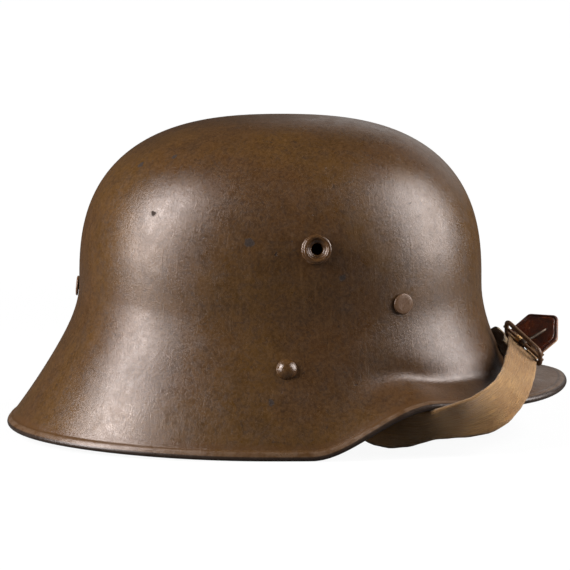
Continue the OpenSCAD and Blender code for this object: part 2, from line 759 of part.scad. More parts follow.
// The ring's strap bar, worked out in the right rivet's frame
rivet_t = at_height(-rivet_angle, rivet_height);
rivet_point = shell_point(-rivet_angle, rivet_t);
rivet_out = shell_normal(-rivet_angle, rivet_t);
rivet_forward = unit(cross([0, 0, 1], rivet_out));
rivet_up = cross(rivet_out, rivet_forward);
plate_along = sin(chape_turn) * rivet_forward - cos(chape_turn) * rivet_up;
plate_across = cos(chape_turn) * rivet_forward + sin(chape_turn) * rivet_up;
hinge_point = rivet_point + chape_reach * plate_along - hinge_depth * rivet_out;
ring_along = cos(ring_turn) * plate_along - sin(ring_turn) * rivet_out;
ring_out = sin(ring_turn) * plate_along + cos(ring_turn) * rivet_out;
strap_bar = hinge_point + ring_depth * ring_along;
// Fold around the bar: [along, outward] pairs from the sewn-back end to the free run
fold_radius = ring_wire_radius + 0.5 + strap_thickness / 2;
layer_half = strap_thickness / 2 + 0.15;
fold_path = concat(
    [[strap_fold, -layer_half], [9, -layer_half], [4.5, -fold_radius * 0.75]],
    [for (b = [-90:-30:-270]) fold_radius * [cos(b), sin(b)]],
    [[4.5, fold_radius * 0.75], [9, layer_half]]);
fold_stations = [for (p = fold_path) [strap_bar + p[0] * ring_along + p[1] * ring_out, plate_across]];

// A point by the rim: plan angle, distance out from the rim and height over it
function by_rim(a, out, up) = in_plan(a, [rim_radius(a) + out, rim_height(a) + up]);
// Hand-set route of the right webbing: middle of the band, direction towards its upper edge
right_route = [
    [by_rim(-60.6, -18.5, -2.9), [6, 0, 23]],
    [by_rim(-53.7, -10.7, -12), [5, -10, 18]],
    [by_rim(-49.4, -2, -8.8), [7, -11, 20]],
    [by_rim(-44.8, 3.7, -4.7), [4, -6, 21]],
    [by_rim(-38.8, 6, 2.8), [-5, 8, 22]],
    [by_rim(-31.6, -2.1, 11.2), [-11, 14, 16]],
    [by_rim(-23.2, -12.9, 18.2), [-13, 13, 14]]];

// Buckle frame: across the strap, along the tab and out of its face
buckle_centre = by_rim(-13.2, -21.2, 26.1);
tab_turn = 15.9;
tab_rise = 37.4;
tab_roll = 37.5;
tab_along = [cos(tab_rise) * cos(tab_turn), cos(tab_rise) * sin(tab_turn), sin(tab_rise)];
tab_level = [sin(tab_turn), -cos(tab_turn), 0];
tab_lift = cross(tab_level, tab_along);
tab_across = cos(tab_roll) * tab_level - sin(tab_roll) * tab_lift;
tab_out = cos(tab_roll) * tab_lift + sin(tab_roll) * tab_level;
function at_buckle(along, across, out) =
    buckle_centre + along * tab_along + across * tab_across + out * tab_out;
module on_buckle() {
    multmatrix([
        [tab_along[0], tab_out[0], tab_across[0], buckle_centre[0]],
        [tab_along[1], tab_out[1], tab_across[1], buckle_centre[1]],
        [tab_along[2], tab_out[2], tab_across[2], buckle_centre[2]],
        [0, 0, 0, 1]])
        children();
}
// The strap dives at this slope between the lower rail and the centre bar
dive = 45;
bar_reach = (buckle_half_depth + buckle_bar_radius - buckle_wire_radius) / 2;
dive_middle = -bar_reach * [cos(buckle_tilt), sin(buckle_tilt)];
function dive_point(s, across) =
    let (p = dive_middle + s * [cos(dive), -sin(dive)])
    at_buckle(p[0], across, p[1]);
under_strap = dive_middle[1] - 1.2;
buckle_stations = [
    [dive_point(-4, 3.4), -tab_across],
    [dive_point(0, 0), -tab_across],
    [at_buckle(1.2, 0, under_strap), -tab_across],
    [at_buckle(4, 0, under_strap), -tab_across]];
prong_slot_half = 2.6;
module strap_right() {
    color(webbing)
        difference() {
            webbing_band(smooth_stations(concat(fold_stations, right_route, buckle_stations), 3), strap_width);
            on_buckle()
                translate([0.5, -3, 0])
                cube([8.5, 7, 2 * prong_slot_half], center = true);
        }
}
left_end = [
    [by_rim(10.4, -24.2, 18.2), [-15, -4, 13]],
    [by_rim(0.9, -25.2, 16.8), [-15, 0, 14]],
    [by_rim(-7.8, -25.9, 16.3), [-15, 4, 13]]];
module strap_left() {
    mirrored = [for (s = concat(fold_stations, right_route))
        [[s[0][0], -s[0][1], s[0][2]], [s[1][0], -s[1][1], s[1][2]]]];
    color(webbing)
        webbing_band(smooth_stations(concat(mirrored, left_end), 3), strap_width);
}

// Leather tab under the buckle: pointed end, laid along the strap
tab_back = buckle_wire_radius + 0.6 - buckle_half_depth * cos(buckle_tilt);
tab_shoulder = 9.4;
tab_shift = -3.1;
tab_layer = under_strap - strap_thickness / 2 - 2 * seat_gap - tab_thickness;
module leather_tab() {
    half = tab_width / 2;
    color(tab_leather)
        on_buckle()
        rotate([90, 0, 0])
        translate([0, tab_shift, -tab_layer - tab_thickness])
        linear_extrude(tab_thickness)
        polygon([[tab_back, -half], [tab_length - tab_shoulder, -half], [tab_length, -1.2],
            [tab_length, 1.2], [tab_length - tab_shoulder, half], [tab_back, half]]);
}
buckle_corner = 3;
bar_end = 0.7;
module buckle_frame() {
    color(steel_paint)
        on_buckle()
        rotate([0, 0, buckle_tilt])
        union() {
            translate([-buckle_half_depth, 0, 0])
                wire_loop(buckle_half_width, 2 * buckle_half_depth, buckle_corner, buckle_wire_radius);
            cylinder(r = buckle_bar_radius, h = 2 * (buckle_half_width + buckle_wire_radius + bar_end),
                center = true);
        }
}
// Prong: an eye round the centre bar and a wire that lies on the tab, under the upper rail
module buckle_prong() {
    eye_bore = buckle_bar_radius + hinge_clearance;
    eye_radius = eye_bore + 0.9;
    eye_width = 3.6;
    tab_face = tab_layer + tab_thickness;
    rest = asin((tab_face + prong_wire_radius + 2 * seat_gap) / prong_length);
    color(bare_steel)
        on_buckle()
        rotate([0, 0, rest])
        union() {
            difference() {
                union() {
                    cylinder(r = eye_radius, h = eye_width, center = true);
                    rotate([0, 90, 0]) cylinder(r = prong_wire_radius, h = prong_length);
                }
                cylinder(r = eye_bore, h = eye_width + 2, center = true);
            }
            translate([prong_length, 0, 0]) sphere(r = prong_wire_radius);
        }
}

shell();
vent_lug_right();
vent_lug_left();
strap_rivet_right();
strap_rivet_left();
ring_plate_right();
ring_plate_left();
strap_ring_right();
strap_ring_left();
liner_pin_right();
liner_pin_left();
liner_pin_rear();
pin_washers();
band_spacers();
liner_band();
liner_pad_front();
liner_pad_rear_left();
liner_pad_rear_right();
pad_cushion_front();
pad_cushion_rear_left();
pad_cushion_rear_right();
crown_lace();
strap_right();
strap_left();
leather_tab();
buckle_frame();
buckle_prong();
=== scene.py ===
"""The looks of a pressed steel helmet with a stowed chin strap and a leather liner.

Lengths are in millimetres until a mesh is made. +X is forward, +Y the wearer's left, +Z up.
"""

import math

import bmesh
import bpy
import numpy as np
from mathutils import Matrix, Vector


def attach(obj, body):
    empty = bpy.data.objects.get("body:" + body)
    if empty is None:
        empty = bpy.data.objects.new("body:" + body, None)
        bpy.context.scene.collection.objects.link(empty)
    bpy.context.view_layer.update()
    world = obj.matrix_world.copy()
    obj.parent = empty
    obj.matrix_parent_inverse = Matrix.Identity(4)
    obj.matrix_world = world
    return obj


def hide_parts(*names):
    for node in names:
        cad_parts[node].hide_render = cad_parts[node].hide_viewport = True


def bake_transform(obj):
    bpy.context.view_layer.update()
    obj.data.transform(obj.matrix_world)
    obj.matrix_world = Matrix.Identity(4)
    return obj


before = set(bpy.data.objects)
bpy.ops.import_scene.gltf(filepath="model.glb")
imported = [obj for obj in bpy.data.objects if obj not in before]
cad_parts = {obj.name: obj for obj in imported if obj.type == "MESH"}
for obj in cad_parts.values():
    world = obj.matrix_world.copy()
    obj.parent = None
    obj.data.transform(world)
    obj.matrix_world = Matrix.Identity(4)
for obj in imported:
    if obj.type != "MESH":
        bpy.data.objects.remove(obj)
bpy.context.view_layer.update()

MM = 0.001

# Dome, in millimetres
CROWN = 174.0
DOME_FRONT = 110.8
DOME_REAR = 112.5
DOME_SIDE = 95.5
DOME_POWER = 2.25
CROWN_POWER_LENGTH = 2.65
CROWN_POWER_WIDTH = 2.8
WAIST = 82.0
WAIST_SIDE = 74.0
WALL = 1.2

# Skirt, visor and rolled edge. Starts, ends and spans are plan degrees from the front
RIM_FRONT = 158.0
RIM_REAR = 152.5
RIM_SIDE = 114.0
RIM_POWER = 2.28
VISOR_BEND = (128.5, 31.0)
NECK_BEND = (121.0, 53.5)
SIDE_BEND = (98.5, 50.0)
VISOR_EDGE = 25.2
VISOR_TIP = 26.0
VISOR_DIP = 2.0
NECK_EDGE = 3.5
STEP_FRONT = 51.0
STEP_REAR = 82.0
VISOR_SLOPE = 72.0
SIDE_SLOPE = 18.0
NECK_SLOPE = 38.0
SLOPE_REACH = 33.0
HEM_RADIUS = 1.5
HEM_HEIGHT = 4.6
BEAD = 0.65
BEAD_HEIGHT = 3.6
BROW_EASE = 9.0
BROW_START = 5.0
BROW_RISE = 30.0
BROW_END = 75.0
BROW_FALL = 25.0
SIDE = 90.0
VISOR_SPAN = 50.0
VISOR_DIP_SPAN = 55.0
NECK_SPAN = 80.0
NECK_START = 95.0
NECK_RISE = 85.0
AXIS_X = (RIM_REAR - RIM_FRONT) / 2
MIRROR = np.array([1, -1, 1])

# Hardware
SEAT_GAP = 0.15
LUG_ANGLE = 79.0
LUG_HEIGHT = 109.0
LUG_SEAT = 0.5
LUG_PEEN = 1.1
VENT_RADIUS = 3.0
RIVET_ANGLE = 88.5
RIVET_HEIGHT = 46.5
RIVET_RADIUS = 5.6
RIVET_HEAD = 3.4
RIVET_SHANK = 2.5
PEEN_RADIUS = 4.2
PEEN_HEIGHT = 1.2
PIN_ANGLE = 52.0
PIN_HEIGHT = 79.0
PIN_HEAD = 5.5
PIN_SHANK = 2.0
PIN_CLEARANCE = 0.06
WASHER = 0.8
WASHER_SEAT = 0.75
SPACER_RADIUS = 4.5
SPACER = 1.1
PLATE_SEAT = 0.8
PLATE_SHEET = 1.1
PLATE_THICKNESS = 2.4
CHAPE_REACH = 13.0
CHAPE_TURN = 62.0
RING_DEPTH = 16.0
RING_TURN = 18.0
RING_WIRE = 1.5
HINGE_CLEARANCE = 0.08
HINGE_DEPTH = WALL + PLATE_SEAT + RING_WIRE + HINGE_CLEARANCE + PLATE_SHEET

# Chin strap
STRAP_WIDTH = 25.0
STRAP_THICKNESS = 1.8
STRAP_FOLD = 17.0
BUCKLE_HALF_WIDTH = 14.8
BUCKLE_HALF_DEPTH = 5.6
BUCKLE_WIRE = 1.25
BUCKLE_BAR = 0.9
BUCKLE_TILT = 72.0
PRONG_LENGTH = 15.5
PRONG_WIRE = 0.9
TAB_WIDTH = 25.0
TAB_LENGTH = 25.0
TAB_SHOULDER = 9.4
TAB_SHIFT = -3.1
TAB_THICKNESS = 2.2
TAB_TURN = 15.9
TAB_RISE = 37.4
TAB_ROLL = 37.5

# Liner
BAND_HEIGHT = 26.0
BAND_THICKNESS = 2.2
BAND_GAP = 2.0
BAND_BOTTOM = PIN_HEIGHT - BAND_HEIGHT / 2
PAD_THICKNESS = 1.8
PAD_DEPTH = 13.0
PAD_HALF_SPAN = 52.0
PAD_BOTTOM = 60.0
TONGUE_HEIGHT = 147.0
TIP_SHARE = 0.24
SLIT_HALF = 2.5
CUSHION_THICKNESS = 9.4
CUSHION_HEIGHT = 46.0
CUSHION_BOTTOM = 70.0
CUSHION_HALF_SPAN = 38.0
LACE_RADIUS = 1.3
LACE_STATION = 0.94

# Dark knocks in the paint: plan angle, height and radius
MARKS = (
    (-100.5, 112.5, 2.3),
    (-133, 126.5, 1.3),
    (-149, 150, 1.8),
    (-136, 155, 1.4),
    (-71, 94, 1.5),
    (-93, 30, 1.4),
)


# Small maths
def sin(a):
    return math.sin(math.radians(a))


def cos(a):
    return math.cos(math.radians(a))


def mix(a, b, t):
    return a + (b - a) * t


def ease(t):
    c = max(0.0, min(1.0, t))
    return c * c * (3 - 2 * c)


def unit(v):
    v = np.asarray(v, float)
    return v / np.linalg.norm(v)


def flat_angle(a):
    return abs(math.degrees(math.atan2(sin(a), cos(a))))


def plan_radius(front, rear, side, power, a):
    reach = front if cos(a) > 0 else rear
    return ((abs(cos(a)) / reach) ** power + (abs(sin(a)) / side) ** power) ** (-1 / power)


def bezier(points, t):
    n = len(points) - 1
    weights = [math.comb(n, i) * t**i * (1 - t) ** (n - i) for i in range(n + 1)]
    return np.array(weights) @ np.array(points, float)


# The shell's law
def dome_radius(a):
    return plan_radius(DOME_FRONT, DOME_REAR, DOME_SIDE, DOME_POWER, a)


def rim_radius(a):
    return plan_radius(RIM_FRONT, RIM_REAR, RIM_SIDE, RIM_POWER, a)


def waist(a):
    return mix(WAIST, WAIST_SIDE, sin(a) ** 2)


def edge_slope(a):
    d = flat_angle(a)
    visor = (VISOR_SLOPE - SIDE_SLOPE) * ease((SIDE - d) / VISOR_SPAN)
    return SIDE_SLOPE + visor + (NECK_SLOPE - SIDE_SLOPE) * ease((d - SIDE) / NECK_SPAN)


def rim_height(a):
    d = flat_angle(a)
    dip = VISOR_DIP * sin(180 * min(1, d / VISOR_DIP_SPAN)) ** 2
    visor = mix(VISOR_EDGE, VISOR_TIP, ease((VISOR_SPAN - d) / VISOR_SPAN)) - dip
    step = ease((STEP_REAR - d) / (STEP_REAR - STEP_FRONT))
    return visor * step + NECK_EDGE * ease((d - NECK_START) / NECK_RISE)


def hem_frame(a):
    """The middle of the rolled edge, the direction out of the skirt and the one down it."""
    f = edge_slope(a)
    centre = np.array([rim_radius(a) - HEM_RADIUS, rim_height(a) + HEM_RADIUS])
    return centre, np.array([cos(f), sin(f)]), np.array([sin(f), -cos(f)])


def bend_point(a):
    side = sin(a) ** 4
    bend, dome = (VISOR_BEND, DOME_FRONT) if cos(a) > 0 else (NECK_BEND, DOME_REAR)
    reach = mix(bend[0] / dome, SIDE_BEND[0] / DOME_SIDE, side)
    return np.array([dome_radius(a) * reach, mix(bend[1], SIDE_BEND[1], side)])


def profile(a, t):
    """Radius and height outside: t runs from 0 to 1 over the dome and on to 2 down the skirt."""
    start = np.array([dome_radius(a), waist(a)])
    if t <= 1:
        power = 2 / mix(CROWN_POWER_LENGTH, CROWN_POWER_WIDTH, sin(a) ** 2)
        rise = (CROWN - start[1]) * max(0, cos(90 * t)) ** power
        return np.array([start[0] * sin(90 * t) ** power, start[1] + rise])
    bend = bend_point(a)
    centre, out, down = hem_frame(a)
    end = centre + HEM_RADIUS * out
    drop = np.array([0, np.linalg.norm(bend - start) / 2])
    reach = end - SLOPE_REACH * down
    d = flat_angle(a)
    soft = BROW_EASE * ease((BROW_END - d) / BROW_FALL) * ease((d - BROW_START) / BROW_RISE)
    upper, lower = bend + soft * unit(start - bend), bend + soft * unit(reach - bend)
    return bezier([start, start - drop, upper, lower, reach, end], t - 1)


def in_plan(a, p):
    return np.array([AXIS_X + p[0] * cos(a), p[0] * sin(a), p[1]])


def shell_point(a, t):
    return in_plan(a, profile(a, t))


def shell_normal(a, t):
    around = shell_point(a + 1, t) - shell_point(a - 1, t)
    along = shell_point(a, min(2, t + 0.01)) - shell_point(a, t - 0.01)
    return unit(np.cross(along, around))


def at_height(a, z):
    """The profile's t at a height, found by halving."""
    low, high = 0.2, 1.9
    for _ in range(26):
        t = (low + high) / 2
        if profile(a, t)[1] > z:
            low = t
        else:
            high = t
    return (low + high) / 2


def on_shell(a, z):
    """A frame on the steel: columns are forward, up the steel, outward and the place."""
    t = at_height(a, z)
    n = shell_normal(a, t)
    f = unit(np.cross([0, 0, 1], n))
    return np.column_stack([f, np.cross(n, f), n, shell_point(a, t)])


def band_inner(a):
    return dome_radius(a) - WALL - BAND_GAP - BAND_THICKNESS


# Mesh helpers
def add_object(name, data):
    obj = bpy.data.objects.new(name, data)
    bpy.context.scene.collection.objects.link(obj)
    return obj


def add_mesh(name, verts, faces, material, uvs=None):
    mesh = bpy.data.meshes.new(name)
    mesh.from_pydata([tuple(float(c) * MM for c in v) for v in verts], [], faces)
    mesh.validate()
    shape = bmesh.new()
    shape.from_mesh(mesh)
    bmesh.ops.recalc_face_normals(shape, faces=shape.faces)
    shape.to_mesh(mesh)
    shape.free()
    obj = add_object(name, mesh)
    if uvs is not None:
        layer = mesh.uv_layers.new(name="UVMap")
        for loop in mesh.loops:
            layer.data[loop.index].uv = uvs[loop.vertex_index]
    mesh.shade_smooth()
    mesh.materials.append(material)
    return obj


def finish_piece(obj, node, body="helmet"):
    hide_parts(node)
    if body:
        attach(obj, body)


def add_piece(node, shape, material, body="helmet", uvs=None):
    obj = add_mesh(f"{node}_skin", *shape, material, uvs)
    finish_piece(obj, node, body)
    return obj


def bevel(obj, width):
    soft = obj.modifiers.new("soft_edges", "BEVEL")
    soft.width = width * MM
    soft.segments = 2
    return soft


def mirrored(verts):
    return [v * MIRROR for v in verts]


def flipped(faces):
    return [face[::-1] for face in faces]


def both_sides(name, shape, material, bodies=("helmet", "helmet")):
    """The shape on the wearer's right, and its mirror image on the left."""
    verts, faces = shape
    add_piece(f"{name}_right", shape, material, bodies[0])
    add_piece(f"{name}_left", (mirrored(verts), flipped(faces)), material, bodies[1])


def grid_faces(rows, cols, looped=False):
    """Quads between closed rows of points. A looped grid joins its last row to its first."""
    faces = []
    for i, j in np.ndindex(rows if looped else rows - 1, cols):
        top, low, k = i * cols, (i + 1) % rows * cols, (j + 1) % cols
        faces.append((top + j, top + k, low + k, low + j))
    return faces


def end_faces(rows, cols):
    """One face over the first row of a grid and one over the last."""
    last = (rows - 1) * cols
    return [tuple(range(cols))[::-1], tuple(range(last, last + cols))]


def two_sheets(rows, cols, spot):
    """Quads of sheets 1 and 0, turned to either side. The spot function numbers their points."""
    faces = []
    for i, j in np.ndindex(rows - 1, cols - 1):
        quad = [(i, j), (i, j + 1), (i + 1, j + 1), (i + 1, j)]
        faces.append(tuple(spot(1, *c) for c in quad))
        faces.append(tuple(spot(0, *c) for c in reversed(quad)))
    return faces


def corner_arc(a, b, c, radius, share):
    """The corner b cut by an arc, over no more than a share of either side."""
    a, b, c = (np.array(p, float) for p in (a, b, c))
    reach = min(radius, np.linalg.norm(a - b) * share, np.linalg.norm(c - b) * share)
    p, q = b + unit(a - b) * reach, b + unit(c - b) * reach
    return [(1 - t) ** 2 * p + 2 * t * (1 - t) * b + t * t * q for t in (0, 0.25, 0.5, 0.75, 1)]


def rounded(points, radius):
    """The corners of an open profile cut by small arcs."""
    out = [np.array(points[0], float)]
    for a, b, c in zip(points, points[1:], points[2:]):
        out += corner_arc(a, b, c, radius, 0.45)
    return [*out, np.array(points[-1], float)]


def box_section(inner, outer, low, high, radius):
    """A rounded rectangle of (radius, height), begun and ended amid its inner side."""
    middle = (low + high) / 2
    corners = [(inner, low), (outer, low), (outer, high), (inner, high)]
    return rounded([(inner, middle), *corners, (inner, middle)], radius)


def at_place(place, x, y, z):
    return place[:, :3] @ np.array([x, y, z]) + place[:, 3]


def lathe(points, place, segments=48):
    """A profile of (radius, height) turned round a place's outward axis."""
    turns = [360 * k / segments for k in range(segments)]
    verts = [at_place(place, r * cos(a), r * sin(a), h) for r, h in points for a in turns]
    return verts, grid_faces(len(points), segments)


def tube(path, radius, sides, closed=False, radii=None):
    """A round wire along a path, with closed ends or joined to its own start."""
    path = [np.array(p, float) for p in path]
    n = len(path)
    verts, up = [], None
    for i in range(n):
        before = i - 1 if closed or i > 0 else i
        after = (i + 1) % n if closed or i < n - 1 else i
        along = unit(path[after] - path[before])
        if up is None:
            up = unit(np.cross(along, [0.31, 0.17, 0.93]))
        up = unit(up - along * np.dot(up, along))
        side = np.cross(along, up)
        r = radius if radii is None else radii[i]
        for k in range(sides):
            a = 360 * k / sides
            verts.append(path[i] + r * (cos(a) * up + sin(a) * side))
    return verts, grid_faces(n, sides, closed) + ([] if closed else end_faces(n, sides))


def join(parts):
    """Several (verts, faces) as one."""
    verts, faces = [], []
    for more, shapes in parts:
        faces += [tuple(len(verts) + i for i in face) for face in shapes]
        verts += more
    return verts, faces


# Materials
def linear(levels):
    """A colour of 0 to 255 levels of red, green and blue, as the linear one of a socket."""
    shares = (c / 255 for c in levels)
    return (*(((c + 0.055) / 1.055) ** 2.4 if c > 0.04 else c / 12.92 for c in shares), 1)


class Nodes:
    """A short way to write the node graph of a material or a world."""

    def __init__(self, owner):
        owner.use_nodes = True
        self.owner = owner
        self.tree = owner.node_tree
        self.shader = self.tree.nodes.get("Principled BSDF")

    def fill(self, node, inputs):
        """Sets numbers, vectors and colours on a node's inputs, and links anything else."""
        for key, value in inputs.items():
            socket = node.inputs[key]
            if isinstance(value, tuple) and socket.type == "RGBA":
                socket.default_value = linear(value)
            elif isinstance(value, (int, float, tuple)):
                socket.default_value = value
            else:
                self.tree.links.new(value, socket)
        return node

    def node(self, kind, **inputs):
        return self.fill(self.tree.nodes.new(kind), inputs)

    def place(self, kind="Object", scale=(1, 1, 1)):
        return self.stretch(self.node("ShaderNodeTexCoord").outputs[kind], scale)

    def stretch(self, vector, scale):
        return self.node("ShaderNodeMapping", Vector=vector, Scale=scale).outputs["Vector"]

    def noise(self, vector, scale, detail, roughness, distortion=0.0):
        node = self.node("ShaderNodeTexNoise", Vector=vector, Scale=scale, Detail=detail)
        self.fill(node, {"Roughness": roughness, "Distortion": distortion})
        return node.outputs["Fac"]

    def ramp(self, fac, low, high, out_low=0.0, out_high=1.0):
        node = self.node("ShaderNodeMapRange", Value=fac)
        self.fill(node, {"From Min": low, "From Max": high, "To Min": out_low, "To Max": out_high})
        node.interpolation_type = "SMOOTHSTEP"
        return node.outputs["Result"]

    def patches(self, vector, scale, detail, roughness, distortion, low, high):
        """Noise cut to soft patches: 0 below the low level and 1 above the high one."""
        return self.ramp(self.noise(vector, scale, detail, roughness, distortion), low, high)

    def math(self, operation, a, b=0.0):
        node = self.fill(self.node("ShaderNodeMath"), {0: a, 1: b})
        node.operation = operation
        return node.outputs["Value"]

    def vector_math(self, operation, *vectors):
        node = self.fill(self.node("ShaderNodeVectorMath"), dict(enumerate(vectors)))
        node.operation = operation
        return node.outputs["Value"]

    def scaled(self, value, factor):
        return self.math("MULTIPLY", value, factor)

    def weave(self, a, pitch_a, b, pitch_b):
        """Threads that cross, 0 to 1, by their pitches in metres."""
        a = self.math("SINE", self.scaled(a, 2 * math.pi / pitch_a))
        b = self.math("SINE", self.scaled(b, 2 * math.pi / pitch_b))
        return self.math("ADD", self.scaled(self.math("MULTIPLY", a, b), 0.5), 0.5)

    def blend(self, fac, a, b):
        node = self.node("ShaderNodeMix")
        node.data_type = "RGBA"
        return self.fill(node, {0: fac, 6: a, 7: b}).outputs[2]

    def layers(self, color, *coats):
        """Coats of (mask, amount, colour) laid on one by one where their masks are high."""
        for mask, amount, top in coats:
            color = self.blend(self.scaled(mask, amount), color, top)
        return color

    def split(self, vector):
        return self.node("ShaderNodeSeparateXYZ", Vector=vector).outputs

    def bump(self, height, distance, strength, normal=None):
        node = self.node("ShaderNodeBump", Height=height, Distance=distance, Strength=strength)
        if normal is not None:
            self.fill(node, {"Normal": normal})
        return node.outputs["Normal"]

    def by_eye(self, unseen, seen, share, output):
        """One shader for the light's rays, and a share of another one for the camera's."""
        camera = self.node("ShaderNodeLightPath").outputs["Is Camera Ray"]
        parts = {0: self.scaled(camera, share), 1: unseen.outputs[0], 2: seen.outputs[0]}
        mixer = self.fill(self.node("ShaderNodeMixShader"), parts)
        self.fill(self.tree.nodes[output], {"Surface": mixer.outputs[0]})
        return camera

    def finish(self, color, roughness, normal, metallic=0.0, specular=0.5, sheen=0.0):
        self.fill(self.shader, {"Base Color": color, "Roughness": roughness, "Normal": normal})
        self.fill(self.shader, {"Metallic": metallic, "Specular IOR Level": specular})
        self.fill(self.shader, {"Sheen Weight": sheen})
        return self.owner


def material(name):
    return Nodes(bpy.data.materials.new(name))


def paint_base(n, chips):
    """Colour, roughness and relief of the worn olive-brown paint."""
    where, streak = n.place(), n.place(scale=(1, 1, 0.09))
    patch = n.patches(where, 130, 7, 0.75, 1.6, 0.44, 0.62)
    fine = n.patches(where, 620, 6, 0.8, 0, 0.40, 0.62)
    specks = n.patches(where, 480, 4, 0.7, 1.0, 0.58, 0.68)
    lines = n.patches(streak, 520, 4, 0.6, 0.2, 0.52, 0.74)
    chip = n.patches(where, 210, 3, 0.5, 0.5, 0.735, 0.765)
    broad = n.patches(where, 14, 3, 0.5, 0.4, 0.38, 0.62)
    color = n.layers(
        n.blend(broad, (70, 46, 15), (62, 39, 18)),
        (n.patches(where, 38, 6, 0.62, 0.6, 0.35, 0.72), 0.5, (41, 27, 12)),
        (patch, 0.55, (43, 27, 14)),
        (fine, 0.42, (90, 64, 38)),
        (specks, 0.6, (28, 18, 11)),
        (lines, 0.2, (98, 72, 46)),
        (n.patches(streak, 300, 5, 0.65, 0.4, 0.60, 0.78), 0.6, (30, 20, 12)),
        (n.patches(where, 62, 9, 0.72, 1.2, 0.60, 0.74), 0.6, (28, 18, 11)),
        (chip, 0.85 * chips, (30, 24, 22)),
    )
    height = n.math("ADD", n.scaled(fine, 0.5), n.scaled(lines, 0.5))
    height = n.math("SUBTRACT", height, n.scaled(chip, 1.5))
    wavy = n.bump(n.noise(where, 30, 3, 0.5), 0.0012, 0.4)
    rough = n.ramp(n.noise(where, 110, 7, 0.7), 0.3, 0.7, 0.26, 0.37)
    rough = n.math("ADD", rough, n.scaled(n.math("ADD", patch, specks), 0.06))
    n.shader.inputs["Specular Tint"].default_value = (1.0, 0.88, 0.84, 1)
    return color, rough, n.bump(height, 0.00007, 0.8, wavy)


def hardware_paint(name, shine, lift):
    """The paint on small pieces, rubbed at their edges, with painted shade darkening their
    hollows.
    """
    n = material(name)
    color, rough, normal = paint_base(n, 0.3)
    curve = n.node("ShaderNodeNewGeometry").outputs["Pointiness"]
    # Wear lightens the sharp edges; painted shade darkens the concave spots, such as the lug's
    # dished mouth.
    rub, hollow = n.ramp(curve, 0.55, 0.62), n.ramp(curve, 0.485, 0.44)
    color = n.layers(color, (rub, 0.5, (104, 83, 70)), (hollow, 0.7, (28, 19, 13)))
    color = n.blend(lift, color, (112, 84, 64))
    return n.finish(color, n.math("SUBTRACT", rough, shine), normal)


def rim_paint(name):
    """The shell's paint, with the rolled edge's rust line and rubbed bead, painted shade on the
    rolled edge's underside and the shell's inside, and dark knocks.
    """
    n = material(name)
    color, rough, normal = paint_base(n, 1.0)
    where = n.place()
    down = n.split(n.place("UV"))[1]
    wobble = n.scaled(n.noise(where, 55, 5, 0.6), 0.0016)
    rust = n.ramp(n.math("ADD", down, wobble), -0.0066, -0.0046)
    uneven = n.ramp(n.noise(where, 75, 6, 0.65, 0.6), 0.35, 0.65, 0.45, 0.85)
    color = n.blend(n.math("MULTIPLY", rust, uneven), color, (70, 46, 24))
    worn = n.patches(where, 160, 6, 0.65, 0, 0.35, 0.6)
    bead = n.math("MULTIPLY", n.ramp(down, -0.0030, -0.0024), worn)
    # Painted shade: the paint is darkened on the rolled edge's underside and over the whole inside
    # of the shell.
    underside_shade = n.ramp(down, -0.0004, 0.0003)
    color = n.layers(color, (bead, 0.5, (98, 78, 62)), (underside_shade, 0.85, (22, 15, 12)))
    for angle, height, radius in MARKS:
        centre = tuple(shell_point(angle, at_height(angle, height)) * MM)
        away = n.vector_math("DISTANCE", where, centre)
        ragged = n.math("ADD", away, n.scaled(n.noise(where, 320, 5, 0.75), 0.005))
        mark = n.ramp(ragged, (radius + 3.3) * MM, (radius + 2.1) * MM)
        color = n.layers(color, (mark, 0.9, (24, 13, 6)))
        rough = n.math("MAXIMUM", rough, n.scaled(mark, 0.85))
    return n.finish(color, rough, normal)


def bare_steel(name):
    n = material(name)
    where = n.place()
    grime = n.patches(where, 260, 6, 0.65, 0, 0.35, 0.65)
    color = n.blend(grime, (96, 82, 70), (44, 33, 26))
    rust = n.patches(where, 120, 5, 0.6, 0.8, 0.58, 0.7)
    color = n.layers(color, (rust, 0.6, (98, 60, 36)))
    rough = n.ramp(grime, 0, 1, 0.42, 0.7)
    return n.finish(color, rough, n.bump(grime, 0.00008, 0.6), metallic=0.75)


def webbing(name, green=0.0):
    """Cotton webbing by its UVs in metres: u runs along the band and v across it."""
    n = material(name)
    uv, where = n.place("UV"), n.place()
    u, v, _ = n.split(uv)
    weave = n.weave(u, 0.00125, v, 0.0011)
    fuzz = n.noise(where, 1500, 4, 0.7)
    fibres = n.patches(n.stretch(uv, (90, 1400, 1)), 1.0, 5, 0.7, 0, 0.42, 0.60)
    # Painted shade with some soil: the run nearest the ring, below the brim, is darkened, clearing
    # between 60 and 150 mm along the band.
    clear_of_brim_shade = n.ramp(n.math("ADD", u, n.scaled(n.noise(where, 90, 5, 0.6), 0.02)), 0.060, 0.150)
    selvedge = n.ramp(n.math("ABSOLUTE", n.math("SUBTRACT", v, 0.0122)), 0.0108, 0.0121)
    soil = n.patches(where, 60, 6, 0.6, 0.5, 0.38, 0.68)
    color = n.blend(soil, (244, 192, 122), (210, 156, 90))
    color = n.blend(n.math("SUBTRACT", 0.7, n.scaled(clear_of_brim_shade, 0.7)), color, (112, 82, 42))
    color = n.layers(
        color,
        (fibres, 0.4, (112, 76, 36)),
        (n.math("SUBTRACT", 1.0, weave), 0.36, (76, 50, 26)),
        (n.ramp(fuzz, 0.4, 0.66), 0.28, (206, 164, 112)),
        (selvedge, 0.6, (84, 54, 28)),
        (n.patches(where, 170, 5, 0.6, 0.6, 0.60, 0.75), 0.4, (84, 54, 28)),
    )
    color = n.blend(green, color, (62, 50, 24))
    height = n.math("ADD", n.scaled(weave, 0.6), n.math("ADD", fuzz, n.scaled(fibres, -0.8)))
    return n.finish(color, 0.92, n.bump(height, 0.0003, 0.9), specular=0.2, sheen=0.25)


